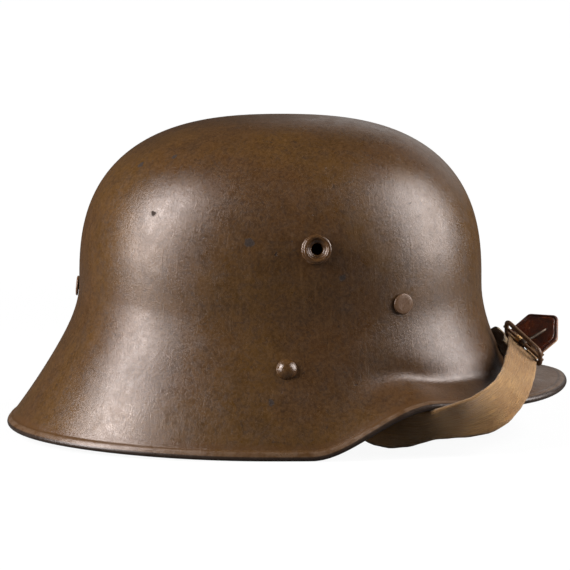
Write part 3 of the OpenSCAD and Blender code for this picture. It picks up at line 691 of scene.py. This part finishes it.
def leather(name, light, dark, roughness, grain=900):
    n = material(name)
    where = n.place()
    mottle = n.patches(where, 120, 9, 0.75, 0.3, 0.32, 0.72)
    cells = n.node("ShaderNodeTexVoronoi", Vector=where, Scale=grain)
    cells.feature = "DISTANCE_TO_EDGE"
    pores = n.ramp(cells.outputs["Distance"], 0.0, 0.16)
    scratch = n.patches(n.place(scale=(1, 1, 0.2)), 640, 3, 0.6, 2.0, 0.60, 0.68)
    walls = n.math("SUBTRACT", 1.0, pores)
    color = n.blend(mottle, light, dark)
    color = n.layers(color, (walls, 0.25, dark), (scratch, 0.5, (158, 92, 46)))
    creases = n.patches(where, 210, 6, 0.7, 1.5, 0.47, 0.53)
    height = n.math("ADD", n.scaled(pores, 0.6), n.scaled(creases, 0.4))
    rough = n.ramp(mottle, 0, 1, roughness - 0.07, roughness + 0.08)
    return n.finish(color, rough, n.bump(height, 0.00012, 0.7))


def coarse_cloth(name, light, dark, pitch=0.0016):
    n = material(name)
    where = n.place()
    x, y, z = n.split(where)
    weave = n.weave(n.math("ADD", x, y), pitch, z, pitch)
    color = n.blend(n.patches(where, 70, 6, 0.6, 0.5, 0.38, 0.66), light, dark)
    color = n.layers(color, (weave, 0.25, dark))
    return n.finish(color, 0.95, n.bump(weave, 0.00025, 0.8), specular=0.15, sheen=0.2)


paint_shell = rim_paint("paint_shell")
paint_hardware = hardware_paint("paint_hardware", 0.17, 0.04)
paint_pin = hardware_paint("paint_pin", 0.02, 0.45)
steel = bare_steel("bare_steel")
strap_cloth = webbing("webbing")
soiled_cloth = webbing("soiled_webbing", 0.75)
tab_leather = leather("tab_leather", (92, 38, 15), (30, 12, 7), 0.32)
edge_leather = leather("edge_leather", (176, 138, 104), (128, 92, 66), 0.7)
liner_leather = leather("liner_leather", (142, 98, 58), (106, 70, 41), 0.55, 700)
cushion_cloth = coarse_cloth("cushion_cloth", (168, 152, 122), (124, 106, 78))
cord_cloth = coarse_cloth("cord_cloth", (196, 180, 148), (150, 130, 96), 0.0009)


# Shell
def bead_offset(to_edge):
    """How far the rolled edge stands out of the skirt, by the distance to the edge."""
    rise = max(0.0, to_edge - HEM_RADIUS) / (BEAD_HEIGHT - HEM_RADIUS)
    return BEAD * cos(90 * min(1.0, rise))


def build_shell():
    columns = 288
    angles = [180 + 360 * k / columns for k in range(columns)]
    crown = [i / 44 for i in range(1, 45)]
    skirt = [*np.linspace(1.03, 1.93, 34), *np.linspace(1.94, 2, 22)]
    inside = [*np.linspace(1.95, 1, 22), *(i / 30 for i in range(29, 0, -1))]
    rows, downs = [], []
    for t in crown + skirt:
        row, down = [], []
        for a in angles:
            to_edge = np.linalg.norm(profile(a, 2) - profile(a, t)) if t > 1.5 else 200.0
            row.append(shell_point(a, t) + shell_normal(a, t) * bead_offset(to_edge))
            down.append(-min(to_edge, 90.0))
        rows.append(row)
        downs.append(down)

    def hem_row(place, down):
        """A row of the rolled edge, by its steps out and down from the hem's middle."""
        rows.append([in_plan(a, (1, *place) @ np.array(hem_frame(a))) for a in angles])
        downs.append([down] * columns)

    for turn in range(15, 181, 15):
        swell = HEM_RADIUS + BEAD * (1 + cos(turn)) / 2
        hem_row((swell * cos(turn), swell * sin(turn)), turn / 45)
    lip = HEM_HEIGHT - HEM_RADIUS
    for rise, inset in ((1.5, 0), (lip - 0.4, 0), (lip, 0.4)):
        hem_row((inset - HEM_RADIUS, -rise), 6.0 + rise)
    for t in inside:
        rows.append([shell_point(a, t) - WALL * shell_normal(a, t) for a in angles])
        downs.append([12.0] * columns)
    verts = [p for row in rows for p in row]
    uvs = [(k / columns, d * MM) for row in downs for k, d in enumerate(row)]
    faces = flipped(grid_faces(len(rows), columns))
    top, bottom = len(verts), len(verts) + 1
    verts += [np.array([AXIS_X, 0, CROWN]), np.array([AXIS_X, 0, CROWN - WALL])]
    uvs += [(0.5, -0.09), (0.5, 0.012)]
    last = (len(rows) - 1) * columns
    faces += [(top, k, (k + 1) % columns) for k in range(columns)]
    faces += [(bottom, last + (k + 1) % columns, last + k) for k in range(columns)]
    obj = add_mesh("shell_skin", verts, faces, paint_shell, uvs)
    hole = [(0.01, 4), (5.1, 4), (5.1, -5), (0.01, -5)]
    right, drill_faces = lathe(hole, on_shell(-LUG_ANGLE, LUG_HEIGHT))
    for drill_verts in (right, mirrored(right)):
        drill = add_mesh("drill", drill_verts, drill_faces, paint_shell)
        vent = obj.modifiers.new("vent", "BOOLEAN")
        vent.object = drill
        vent.operation = "DIFFERENCE"
        vent.solver = "EXACT"
        bpy.context.view_layer.update()
        ready = obj.evaluated_get(bpy.context.evaluated_depsgraph_get())
        whole = bpy.data.meshes.new_from_object(ready)
        obj.modifiers.clear()
        obj.data = whole
        bpy.data.objects.remove(drill)
    finish_piece(obj, "shell")


build_shell()


# Hardware
def vent_lug():
    """A hollow stud: flange inside, shoulder on the steel, neck, lip and a dished mouth."""
    inside, seat = -WALL - LUG_SEAT - LUG_PEEN, -WALL - 0.4
    flange = [(VENT_RADIUS, 3), (VENT_RADIUS, inside), (6.9, inside), (6.9, seat), (5.2, seat)]
    neck = [(5.2, 0.1), (8.0, 0.1), (8.0, 2.1), (6.4, 2.6), (6.2, 6.2), (7.4, 6.9), (7.4, 8.3)]
    mouth = [(6.8, 8.8), (5.7, 8.8), (4.9, 7.4), (3.5, 6.9), (VENT_RADIUS, 6.2), (VENT_RADIUS, 3)]
    return lathe(rounded(flange + neck + mouth, 0.7), on_shell(-LUG_ANGLE, LUG_HEIGHT), 64)


def strap_rivet():
    """A domed head outside and a washer and peened end behind the ring plate."""
    sphere = (RIVET_RADIUS**2 + RIVET_HEAD**2) / (2 * RIVET_HEAD)
    half = math.degrees(math.asin(RIVET_RADIUS / sphere))
    middle = SEAT_GAP + RIVET_HEAD - sphere
    dome = [(sphere * sin(a), middle + sphere * cos(a)) for a in np.linspace(0.5, half, 14)]
    peen = -WALL - PLATE_SEAT - PLATE_THICKNESS - SEAT_GAP
    end = peen - PEEN_HEIGHT
    shank = [(RIVET_SHANK, 0.1), (RIVET_SHANK, peen), (PEEN_RADIUS, peen)]
    foot = [(PEEN_RADIUS, peen - PEEN_HEIGHT / 2), (PEEN_RADIUS - 1, end), (0.01, end)]
    rest = rounded([dome[-1], *shank, *foot], 0.3)[1:]
    return lathe(dome + rest, on_shell(-RIVET_ANGLE, RIVET_HEIGHT))


PIN_ANGLES = {"right": -PIN_ANGLE, "left": PIN_ANGLE, "rear": 180}
LEG_TOP = WALL + BAND_GAP + BAND_THICKNESS + WASHER_SEAT + WASHER + SEAT_GAP


def head_seat(a):
    """The height that keeps the pin's flat head clear of the turning steel below it."""
    place = on_shell(a, PIN_HEIGHT)
    low = shell_point(a, at_height(a, PIN_HEIGHT - PIN_HEAD))
    return 0.3 + max(0, float(np.dot(low - place[:, 3], place[:, 2])))


def pin_leg(place, side):
    """One leg of the split pin, bent over to its side and tapered at its end."""
    line = [(0.8, 2.5), (0.9, 0), (1.6, -0.5), (4, -0.55), (9.6, -0.5)]
    path = [at_place(place, side * x, 0, z - LEG_TOP) for x, z in line]
    width, last = place[:, 1], len(path) - 1
    verts = []
    for i, p in enumerate(path):
        thick = np.cross(unit(path[min(i + 1, last)] - path[max(i - 1, 0)]), width)
        half = 1.5 * (0.75 if i == last else 1.0)
        for s, t in ((-1, -1), (1, -1), (1, 1), (-1, 1)):
            verts.append(p + width * s * half + thick * t * 0.45)
    return verts, grid_faces(5, 4) + end_faces(5, 4)


def liner_pin(a):
    place, seat = on_shell(a, PIN_HEIGHT), head_seat(a)
    crown = [(0.01, 1.15), (3.6, 1.25), (5.2, 1.1), (PIN_HEAD, 0.7), (PIN_HEAD, 0), (PIN_SHANK, 0)]
    head = rounded([(r, seat + h) for r, h in crown], 0.35)
    shank = [(PIN_SHANK, -LEG_TOP), (0.01, -LEG_TOP)]
    return join([lathe(head + shank, place, 40), pin_leg(place, -1), pin_leg(place, 1)])


def flat_rings(outer, low, thickness):
    """A flat ring round each pin's shank, its face towards the head at the level low."""
    section = box_section(PIN_SHANK + PIN_CLEARANCE, outer, low, low + thickness, 0.2)
    return join([lathe(section, on_shell(a, PIN_HEIGHT), 40) for a in PIN_ANGLES.values()])


both_sides("vent_lug", vent_lug(), paint_hardware)
both_sides("strap_rivet", strap_rivet(), paint_hardware)
for side, angle in PIN_ANGLES.items():
    pin = add_mesh(f"liner_pin_{side}_skin", *liner_pin(angle), paint_pin)
    bevel(pin, 0.15)
    finish_piece(pin, f"liner_pin_{side}")
washers = flat_rings(PIN_HEAD, SEAT_GAP - LEG_TOP, WASHER)
add_piece("pin_washers", washers, steel)
spacers = flat_rings(SPACER_RADIUS, (BAND_GAP - SPACER) / 2 - WALL - BAND_GAP, SPACER)
add_piece("band_spacers", spacers, edge_leather)

for name in ("ring_plate_right", "ring_plate_left"):
    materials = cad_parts[name].data.materials
    materials.clear()
    materials.append(paint_hardware)


# Strap rings
forward, upward, outward, rivet_point = on_shell(-RIVET_ANGLE, RIVET_HEIGHT).T
plate_along = sin(CHAPE_TURN) * forward - cos(CHAPE_TURN) * upward
plate_across = cos(CHAPE_TURN) * forward + sin(CHAPE_TURN) * upward
hinge_point = rivet_point + CHAPE_REACH * plate_along - HINGE_DEPTH * outward
ring_along = cos(RING_TURN) * plate_along - sin(RING_TURN) * outward
ring_out = sin(RING_TURN) * plate_along + cos(RING_TURN) * outward
strap_bar = hinge_point + RING_DEPTH * ring_along


def loop_path(half_width, low, high, bend):
    """A rounded rectangle of (along, across) pairs."""
    path = []
    ends = ((high, 1), (low, 1), (low, -1), (high, -1))
    for start, (x, side) in zip((0, 90, 180, 270), ends):
        along = x - bend if x == high else x + bend
        across = side * (half_width - bend)
        turns = [start + 15 * i for i in range(7)]
        path += [(along + bend * cos(a), across + bend * sin(a)) for a in turns]
    return path


ring_path = [
    hinge_point + x * ring_along + y * plate_across
    for x, y in loop_path(STRAP_WIDTH / 2 + 1 + RING_WIRE, 0, RING_DEPTH, 3)
]
ring = tube(ring_path, RING_WIRE, 14, True)
both_sides("strap_ring", ring, steel, ("ring_right", "ring_left"))


# Chin strap
def by_rim(a, out, up):
    return in_plan(a, (rim_radius(a) + out, rim_height(a) + up))


buckle_centre = by_rim(-13.2, -21.2, 26.1)
tab_level = np.array([sin(TAB_TURN), -cos(TAB_TURN), 0])
tab_forward = np.array([cos(TAB_TURN), sin(TAB_TURN), 0])
tab_along = cos(TAB_RISE) * tab_forward + np.array([0, 0, sin(TAB_RISE)])
tab_lift = np.cross(tab_level, tab_along)
tab_across = cos(TAB_ROLL) * tab_level - sin(TAB_ROLL) * tab_lift
tab_out = cos(TAB_ROLL) * tab_lift + sin(TAB_ROLL) * tab_level


def at_buckle(along, across, out):
    return buckle_centre + along * tab_along + across * tab_across + out * tab_out


DIVE = 45
bar_reach = (BUCKLE_HALF_DEPTH + BUCKLE_BAR - BUCKLE_WIRE) / 2
dive_middle = -bar_reach * np.array([cos(BUCKLE_TILT), sin(BUCKLE_TILT)])


def dive_point(s, across):
    """A point of the strap where it dives through the buckle, s before or after the bar."""
    p = dive_middle + s * np.array([cos(DIVE), -sin(DIVE)])
    return at_buckle(p[0], across, p[1])


# The strap by its stations: the middle of the band and the direction across it
under_strap = dive_middle[1] - 1.2
fold_radius = RING_WIRE + 0.5 + STRAP_THICKNESS / 2
layer_half = STRAP_THICKNESS / 2 + 0.15
fold_path = (
    [(STRAP_FOLD, -layer_half), (9, -layer_half), (4.5, -fold_radius * 0.75)]
    + [(fold_radius * cos(b), fold_radius * sin(b)) for b in range(-90, -271, -30)]
    + [(4.5, fold_radius * 0.75), (9, layer_half)]
)
fold_stations = [(strap_bar + x * ring_along + y * ring_out, plate_across) for x, y in fold_path]
right_route = [
    (by_rim(-60.6, -18.5, -2.9), (6, 0, 23)),
    (by_rim(-53.7, -10.7, -10.4), (5, -10, 18)),
    (by_rim(-49.4, -2, -6.8), (7, -11, 20)),
    (by_rim(-44.8, 3.7, -3.2), (4, -6, 21)),
    (by_rim(-38.8, 6, 2.8), (-5, 8, 22)),
    (by_rim(-31.6, -2.1, 11.2), (-11, 14, 16)),
    (by_rim(-23.2, -12.9, 18.2), (-13, 13, 14)),
]
buckle_middles = [dive_point(-4, 3.4), dive_point(0, 0)]
buckle_middles += [at_buckle(x, 0, under_strap) for x in (1.2, 4)]
buckle_stations = [(p, -tab_across) for p in buckle_middles]
left_end = [
    (by_rim(10.4, -24.2, 18.2), (-15, -4, 13)),
    (by_rim(0.9, -25.2, 16.8), (-15, 0, 14)),
    (by_rim(-7.8, -25.9, 16.3), (-15, 4, 13)),
]


def between(a, b, c, d, t):
    """A smooth curve's point from b to c, with a before them and d after."""
    square, cube = 2 * a - 5 * b + 4 * c - d, 3 * b - a - 3 * c + d
    return 0.5 * (2 * b + (c - a) * t + square * t**2 + cube * t**3)


def smooth_stations(stations, steps=7):
    points = [(np.array(middle, float), unit(across)) for middle, across in stations]
    padded = [points[0], *points, points[-1]]
    out = []
    for four in zip(padded, padded[1:], padded[2:], padded[3:]):
        middles, widths = zip(*four)
        for k in range(steps):
            out.append((between(*middles, k / steps), unit(between(*widths, k / steps))))
    return out + [points[-1]]


def ribbon(stations, slot=0):
    """Webbing with rounded, uneven edges, slotted for the prong over its last stations."""
    width, thickness, wobble, across_steps = STRAP_WIDTH - 0.6, STRAP_THICKNESS, 0.25, 16
    section = [(2 * j / across_steps - 1, 1) for j in range(across_steps + 1)]
    section += [(-2 * j / across_steps + 1, -1) for j in range(across_steps + 1)]
    verts, uvs, length, last = [], [], 0.0, None
    n = len(stations)
    for i, (middle, across) in enumerate(stations):
        along = unit(stations[min(n - 1, i + 1)][0] - stations[max(0, i - 1)][0])
        up = unit(np.cross(across, along))
        length += 0 if last is None else np.linalg.norm(middle - last)
        last = middle
        edge_a = wobble * (math.sin(length * 0.21) + 0.6 * math.sin(length * 0.53 + 1))
        edge_b = wobble * (math.sin(length * 0.17 + 2) + 0.6 * math.sin(length * 0.61))
        for s, side in section:
            reach = width / 2 + (edge_a if s > 0 else edge_b) * abs(s) ** 3
            lip = math.sqrt(1 - 0.75 * (max(0, abs(s) - 0.86) / 0.14) ** 2)
            ripple = 0.16 * wobble * math.sin(length * 0.35 + s * 2.2)
            verts.append(middle + across * s * reach + up * (side * thickness / 2 * lip + ripple))
            back = 0.1 if side < 0 else 0
            uvs.append((length * MM, (s + 1) * width / 2 * MM + back))
    cols = len(section)
    faces = grid_faces(n, cols)
    left, right = across_steps // 2 - 2, across_steps // 2 + 2
    first = n - 1 - slot
    if slot:
        inside = set(range(left, right)) | set(range(cols - 1 - right, cols - 1 - left))
        kept = [k for k in range(len(faces)) if k // cols < first or k % cols not in inside]
        faces = [faces[k] for k in kept]
        for i in range(first, n - 1):
            front, end = i * cols, (i + 1) * cols
            for j, turned in ((left, False), (right, True)):
                wall = (front + j, end + j, end + cols - 1 - j, end - 1 - j)
                faces.append(wall[::-1] if turned else wall)
        for j in range(left, right):
            start = first * cols
            faces.append((start + j, start + j + 1, start + cols - 2 - j, start + cols - 1 - j))
    for start, flip in ((0, False), ((n - 1) * cols, True)):
        for j in range(across_steps):
            if slot and flip and left <= j < right:
                continue
            face = (start + j, start + cols - 1 - j, start + cols - 2 - j, start + j + 1)
            faces.append(face[::-1] if flip else face)
    return verts, faces, uvs


verts, faces, uvs = ribbon(smooth_stations(fold_stations + right_route + buckle_stations), slot=19)
# A small roll of the same cloth, on the bar beside the prong's eye
roll_ends = (-5.7, -5.6, -5.2, -4, -2.8, -2.4, -2.3)
roll_radii = (1.0, 1.6, 2.0, 2.15, 2.0, 1.6, 1.0)
roll_sides = 18
roll = tube([at_buckle(0.5, y, 0.3) for y in roll_ends], None, roll_sides, radii=roll_radii)
uvs += [(0.3 + 0.002 * (k // roll_sides), 0.00073 * (k % roll_sides)) for k in range(len(roll[0]))]
shape = join([(verts, faces), roll])
strap_right = add_piece("strap_right", shape, strap_cloth, None, uvs)
free_end = right_route[1][0]
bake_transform(strap_right)

left_start = [(p * MIRROR, np.array(w) * MIRROR) for p, w in fold_stations + right_route]
verts, faces, uvs = ribbon(smooth_stations(left_start + left_end))
shape = verts, flipped(faces)
strap_left = add_piece("strap_left", shape, soiled_cloth, None, uvs)
left_bar, left_free = strap_bar * MIRROR * MM, free_end * MIRROR * MM
tuple(left_bar)
tuple(left_free)
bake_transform(strap_left)


# Tab and buckle
tab_layer = under_strap - STRAP_THICKNESS / 2 - 0.3 - TAB_THICKNESS / 2
TAB_BACK = BUCKLE_WIRE + 0.6 - BUCKLE_HALF_DEPTH * cos(BUCKLE_TILT)


def tab_outline(inset):
    """The pointed tab's outline, drawn in from its edge."""
    half, back, tip = TAB_WIDTH / 2 - inset, TAB_BACK + inset, TAB_LENGTH - inset
    shoulder = TAB_LENGTH - TAB_SHOULDER - inset * 0.4
    line = [(back, half), (shoulder, half), (tip, 1.2)]
    corners = [(x, -y) for x, y in line] + line[::-1]
    ring = []
    for i, b in enumerate(corners):
        ring += corner_arc(corners[i - 1], b, corners[(i + 1) % len(corners)], 1.4, 0.4)
    return ring


def build_tab():
    """Leather in layers of (inset, height): the cut edge, the face and its pressed border line."""
    half = TAB_THICKNESS / 2
    edge = [(0.5, -half), (0.0, -half + 0.5), (0.0, half - 0.6), (0.25, half - 0.2), (0.7, half)]
    border = [(1.5, half), (1.7, half - 0.32), (2.0, half - 0.32), (2.2, half)]
    layers = edge + border + [(3.4, half + 0.05), (6.5, half + 0.1)]
    verts = []
    for inset, height in layers:
        for x, y in tab_outline(inset):
            curl = 0.25 * sin(x * 9) + 0.0036 * y * y
            verts.append(at_buckle(x, y + TAB_SHIFT, tab_layer + height + curl))
    rows, cols = len(layers), len(tab_outline(0))
    faces = grid_faces(rows, cols) + end_faces(rows, cols)
    obj = add_mesh("leather_tab_skin", verts, faces, tab_leather)
    obj.data.materials.append(edge_leather)
    for polygon in obj.data.polygons[: 2 * cols]:
        polygon.material_index = 1
    finish_piece(obj, "leather_tab")


build_tab()


def buckle_local(x, y, z):
    """A point of the tilted buckle: along, across and out of its own face."""
    c, s = cos(BUCKLE_TILT), sin(BUCKLE_TILT)
    return at_buckle(x * c - z * s, y, x * s + z * c)


wire = loop_path(BUCKLE_HALF_WIDTH, -BUCKLE_HALF_DEPTH, BUCKLE_HALF_DEPTH, 3)
bar_half = BUCKLE_HALF_WIDTH + BUCKLE_WIRE + 0.7
bar_line = [-bar_half, -bar_half + 0.15, -bar_half + 0.5, -bar_half + 0.9, 0]
bar_line += [-y for y in bar_line[3::-1]]
bar_radii = [0.6, 1.0, 1.15, BUCKLE_BAR, BUCKLE_BAR]
bar_radii += bar_radii[3::-1]
wire_loop = tube([buckle_local(x, y, 0) for x, y in wire], BUCKLE_WIRE, 14, True)
bar = tube([buckle_local(0, y, 0) for y in bar_line], BUCKLE_BAR, 14, radii=bar_radii)
add_piece("buckle_frame", join([wire_loop, bar]), paint_pin)

# The prong: an eye wound round the bar and a wire that lies down on the tab
tab_face = tab_layer + TAB_THICKNESS / 2
prong_rest = math.degrees(math.asin((tab_face + PRONG_WIRE + 0.3) / PRONG_LENGTH))
eye_section = box_section(BUCKLE_BAR + 0.08, 1.88, -1.8, 1.8, 0.3)[:-1]
turns = range(0, 360, 15)
eye_verts = [at_buckle(r * cos(a), y, r * sin(a)) for a in turns for r, y in eye_section]
eye = eye_verts, grid_faces(len(turns), len(eye_section), True)
needle_reach = (1.2, 3, 6, 9, 12, 13.4, 14.4, 15.1, PRONG_LENGTH + 0.4)
needle_path = [at_buckle(x * cos(prong_rest), 0, x * sin(prong_rest)) for x in needle_reach]
needle_radii = [PRONG_WIRE * k for k in (1, 1, 1, 1, 1, 0.95, 0.85, 0.7, 0.35)]
needle = tube(needle_path, None, 12, radii=needle_radii)
add_piece("buckle_prong", join([eye, needle]), steel, "prong")


# Liner
def build_band():
    steps = 192
    section = box_section(0, BAND_THICKNESS, 0, BAND_HEIGHT, 0.6)[:-1]
    verts = []
    for k in range(steps):
        a = 360 * k / steps
        inner = band_inner(a)
        verts += [in_plan(a, (inner + inset, BAND_BOTTOM + z)) for inset, z in section]
    shape = verts, grid_faces(steps, len(section), True)
    add_piece("liner_band", shape, liner_leather)


build_band()


def pad_profile(a, t):
    """Radius and height in a pad: sewn to the band at t = 0, and the tongue's tip at t = 1."""
    b = band_inner(a)
    sewn = PAD_THICKNESS / 2 + 0.35
    return bezier(
        [
            (b - sewn, BAND_BOTTOM + 3),
            (b - sewn - 1, PAD_BOTTOM - 8),
            (b - PAD_DEPTH - 5, PAD_BOTTOM - 6),
            (b - PAD_DEPTH - 2, 96),
            (b - PAD_DEPTH - 6, TONGUE_HEIGHT - 4),
            (b * 0.62, TONGUE_HEIGHT + 3),
            (b * TIP_SHARE, TONGUE_HEIGHT),
        ],
        t,
    )


def pad_point(centre, side, v, t, offset, grow):
    """A point of one tongue: v runs across it, t up it, and the slit opens as grow rises."""
    tip = math.sqrt(1 - 0.8 * max(0, (t - 0.78) / 0.22) ** 2)
    half = PAD_HALF_SPAN / 2
    a = centre + side * half + v * (half - SLIT_HALF * grow) * tip
    along = pad_profile(a, min(1, t + 0.01)) - pad_profile(a, max(0, t - 0.01))
    out = unit([along[1], -along[0]])
    middle = ease((t - 0.3) / 0.3) * (1 - ease((t - 0.8) / 0.15))
    sag = 0.5 * math.sin(t * 7 + a * 0.12) * middle
    return in_plan(a, pad_profile(a, t) + (offset + sag) * out)


def build_pad(name, centre):
    """Two tongues of leather that share the lower half, each of two sheets joined at the edges."""
    rows, cols, slit = 42, 15, 18
    grid = rows * cols
    verts = []
    for layer, half, i, j in np.ndindex(2, 2, rows, cols):
        v, t, grow = 2 * j / (cols - 1) - 1, i / (rows - 1), ease((i - slit) / 8)
        offset = (layer - 0.5) * PAD_THICKNESS
        verts.append(pad_point(centre, 2 * half - 1, v, t, offset, grow))

    def spot(layer, half, i, j):
        if half == 1 and j == 0 and i <= slit:
            half, j = 0, cols - 1
        return (layer * 2 + half) * grid + i * cols + j

    faces = []
    for half in (0, 1):
        faces += two_sheets(rows, cols, lambda layer, i, j: spot(layer, half, i, j))

    def rim(half, line):
        for p, q in zip(line, line[1:]):
            ends = (1, q), (1, p), (0, p), (0, q)
            faces.append(tuple(spot(layer, half, *end) for layer, end in ends))

    for half in (0, 1):
        rim(half, [(0, j) for j in range(cols)])
        rim(half, [(rows - 1, j) for j in reversed(range(cols))])
        first = slit if half == 1 else 0
        rim(half, [(i, 0) for i in reversed(range(first, rows))])
        rim(half, [(i, cols - 1) for i in range(slit if half == 0 else 0, rows)])
    obj = add_mesh(f"{name}_skin", verts, faces, liner_leather)
    soft = bevel(obj, 0.35)
    soft.limit_method = "ANGLE"
    soft.angle_limit = math.radians(50)
    finish_piece(obj, name)


PADS = (("front", 0), ("rear_left", 120), ("rear_right", 240))
for label, centre in PADS:
    build_pad(f"liner_pad_{label}", centre)


def swell(s):
    """How full the stuffing is, from 1 amid the cushion to 0 at its edge."""
    return max(0.0, 1 - abs(s) ** 2.6) ** 0.5


def build_cushion(name, centre):
    """A stuffed bag: crowned faces, pulled-in sides, a piped seam and gathers along it."""
    rows, cols = 26, 44
    verts = []
    for side, i, j in np.ndindex(2, rows + 1, cols + 1):
        s, v = 2 * j / cols - 1, 2 * i / rows - 1
        a = centre + s * CUSHION_HALF_SPAN * (1 - 0.06 * v * v)
        z = CUSHION_BOTTOM + CUSHION_HEIGHT * (0.5 + v / 2 * (1 - 0.07 * s * s))
        edge = max(abs(s), abs(v))
        seam = ease((edge - 0.55) / 0.3) * (1 - ease((edge - 0.93) / 0.07))
        gather = 0.35 * math.sin(j * 1.9 + 3 * v) * seam
        lump = math.sin(s * 9 + v * 4) * math.sin(v * 7 - s * 3)
        lump *= 0.35 * (1 - ease((edge - 0.7) / 0.3))
        half = (CUSHION_THICKNESS - 0.6) / 2 * swell(s) * swell(v)
        middle = band_inner(a) - 0.4 - CUSHION_THICKNESS / 2 - 0.02 * max(0, z - 95)
        # Only the face towards the head is uneven
        step = half if side else 0.6 * (gather + lump) - half
        verts.append(in_plan(a, (middle + step, z)))
    grid = (rows + 1) * (cols + 1)

    def spot(side, i, j):
        rim = i in (0, rows) or j in (0, cols)
        return (0 if rim else side) * grid + i * (cols + 1) + j

    faces = two_sheets(rows + 1, cols + 1, spot)
    obj = add_mesh(f"{name}_skin", verts, faces, cushion_cloth)
    finish_piece(obj, name)


for label, centre in PADS:
    build_cushion(f"pad_cushion_{label}", centre)


def lace_path():
    """The drawstring's line: through each tongue in turn, inward and outward by turns."""
    tongues = [c + side * PAD_HALF_SPAN / 2 for _, c in PADS for side in (-1, 1)]
    weave = PAD_THICKNESS / 2 + LACE_RADIUS + 0.35
    path = []
    for k, a in enumerate(tongues):
        following = tongues[k + 1] if k + 1 < len(tongues) else tongues[0] + 360
        climb = weave if k % 2 == 0 else -weave
        degree = 180 / (math.pi * pad_profile(a, LACE_STATION)[0])
        places = [(a + s * degree, climb * s / 2.4) for s in (-2.4, -1.2, 0, 1.2, 2.4)]
        places += [(mix(a, following, m), climb) for m in (0.25, 0.42, 0.58, 0.75)]
        for b, up in places:
            path.append(in_plan(b, pad_profile(b, LACE_STATION) + np.array([0, up])))
    return path


def build_lace():
    """Three strands twisted round the drawstring's line."""
    line = lace_path()
    fine = []
    for i in range(len(line)):
        four = [line[(i + k) % len(line)] for k in (-1, 0, 1, 2)]
        fine += [between(*four, k / 6) for k in range(6)]
    gaps = [float(np.linalg.norm(q - p)) for p, q in zip(fine, fine[1:] + fine[:1])]
    lengths = np.cumsum([0] + gaps)
    turns = round(lengths[-1] / 6.5)
    parts = []
    for strand in range(3):
        path = []
        for i, p in enumerate(fine):
            along = unit(fine[(i + 1) % len(fine)] - fine[i - 1])
            side = unit(np.cross(along, [0, 0, 1]))
            b = 360 * (turns * lengths[i] / lengths[-1] + strand / 3)
            path.append(p + 0.62 * (cos(b) * side + sin(b) * np.cross(side, along)))
        parts.append(tube(path, 0.66, 7, True))
    add_piece("crown_lace", join(parts), cord_cloth)


build_lace()


# Floor, light, view
def build_stage():
    """The white floor: it glows to the camera and gives little light to the steel."""
    floor_z, size = -0.6, 30000
    n = material("floor_white")
    away = n.vector_math("LENGTH", n.place())
    glow = n.node("ShaderNodeEmission", Strength=n.ramp(away, 0.3, 1.4, 1.0, 1.08))
    camera = n.by_eye(n.shader, glow, 0.93, "Material Output")
    grey = n.math("ADD", n.scaled(camera, 0.78), 0.08)
    n.fill(n.shader, {"Base Color": grey, "Roughness": 0.9})
    verts = [(x * size, y * size, floor_z) for x, y in ((-1, -1), (1, -1), (1, 1), (-1, 1))]
    add_mesh("floor", verts, [(0, 1, 2, 3)], n.owner)


# Azimuth, elevation, distance, width and height, and power
LIGHTS = {
    "left_softbox": (-66, 21, 1.1, (0.4, 1.0), 25),
    "left_key": (-60, 30, 1.2, (0.2, 0.26), 4),
    "right_softbox": (83, 24, 1.1, (0.7, 0.9), 25),
    "back_light": (160, 20, 1.4, (0.9, 0.6), 1),
}


def add_light(name, azimuth, elevation, distance, size, power):
    """A softbox round the helmet: azimuth 0 is the camera's side, and it grows to the visor."""
    aim_height = 0.09
    data = bpy.data.lights.new(name, "AREA")
    data.shape = "RECTANGLE"
    data.size, data.size_y = size
    data.energy = power
    light = add_object(name, data)
    reach = distance * cos(elevation)
    offset = Vector((reach * sin(azimuth), -reach * cos(azimuth), distance * sin(elevation)))
    light.location = offset + Vector((0, 0, aim_height))
    light.rotation_euler = offset.to_track_quat("Z", "Y").to_euler()


def build_world():
    """White to the camera, and almost dark to the steel."""
    n = Nodes(bpy.data.worlds.new("studio"))
    bpy.context.scene.world = n.owner
    white = (255, 255, 255)
    soft = n.fill(n.tree.nodes["Background"], {"Color": white, "Strength": 0.05})
    bright = n.node("ShaderNodeBackground", Strength=1.0)
    n.by_eye(soft, bright, 1.0, "World Output")


def build_camera():
    """The photo's camera: metres and degrees, millimetres in a pixel, and pixels."""
    distance, elevation, turn = 1.7, 9.4, 0.036
    pixel, pixels, origin_below_middle = 0.5606, 570, 140.7
    data = bpy.data.cameras.new("camera")
    data.sensor_width = 36
    data.lens = data.sensor_width * distance / (pixels * pixel * MM)
    camera = add_object("camera", data)
    camera.location = (0, -distance * cos(elevation), distance * sin(elevation))
    raised = math.degrees(math.atan(origin_below_middle * pixel * MM / distance))
    camera.rotation_euler = (math.radians(90 - elevation + raised), 0, math.radians(turn))
    bpy.context.scene.camera = camera


build_stage()
build_world()
build_camera()
for name, light in LIGHTS.items():
    add_light(name, *light)

scene = bpy.context.scene
scene.view_settings.view_transform = "Standard"
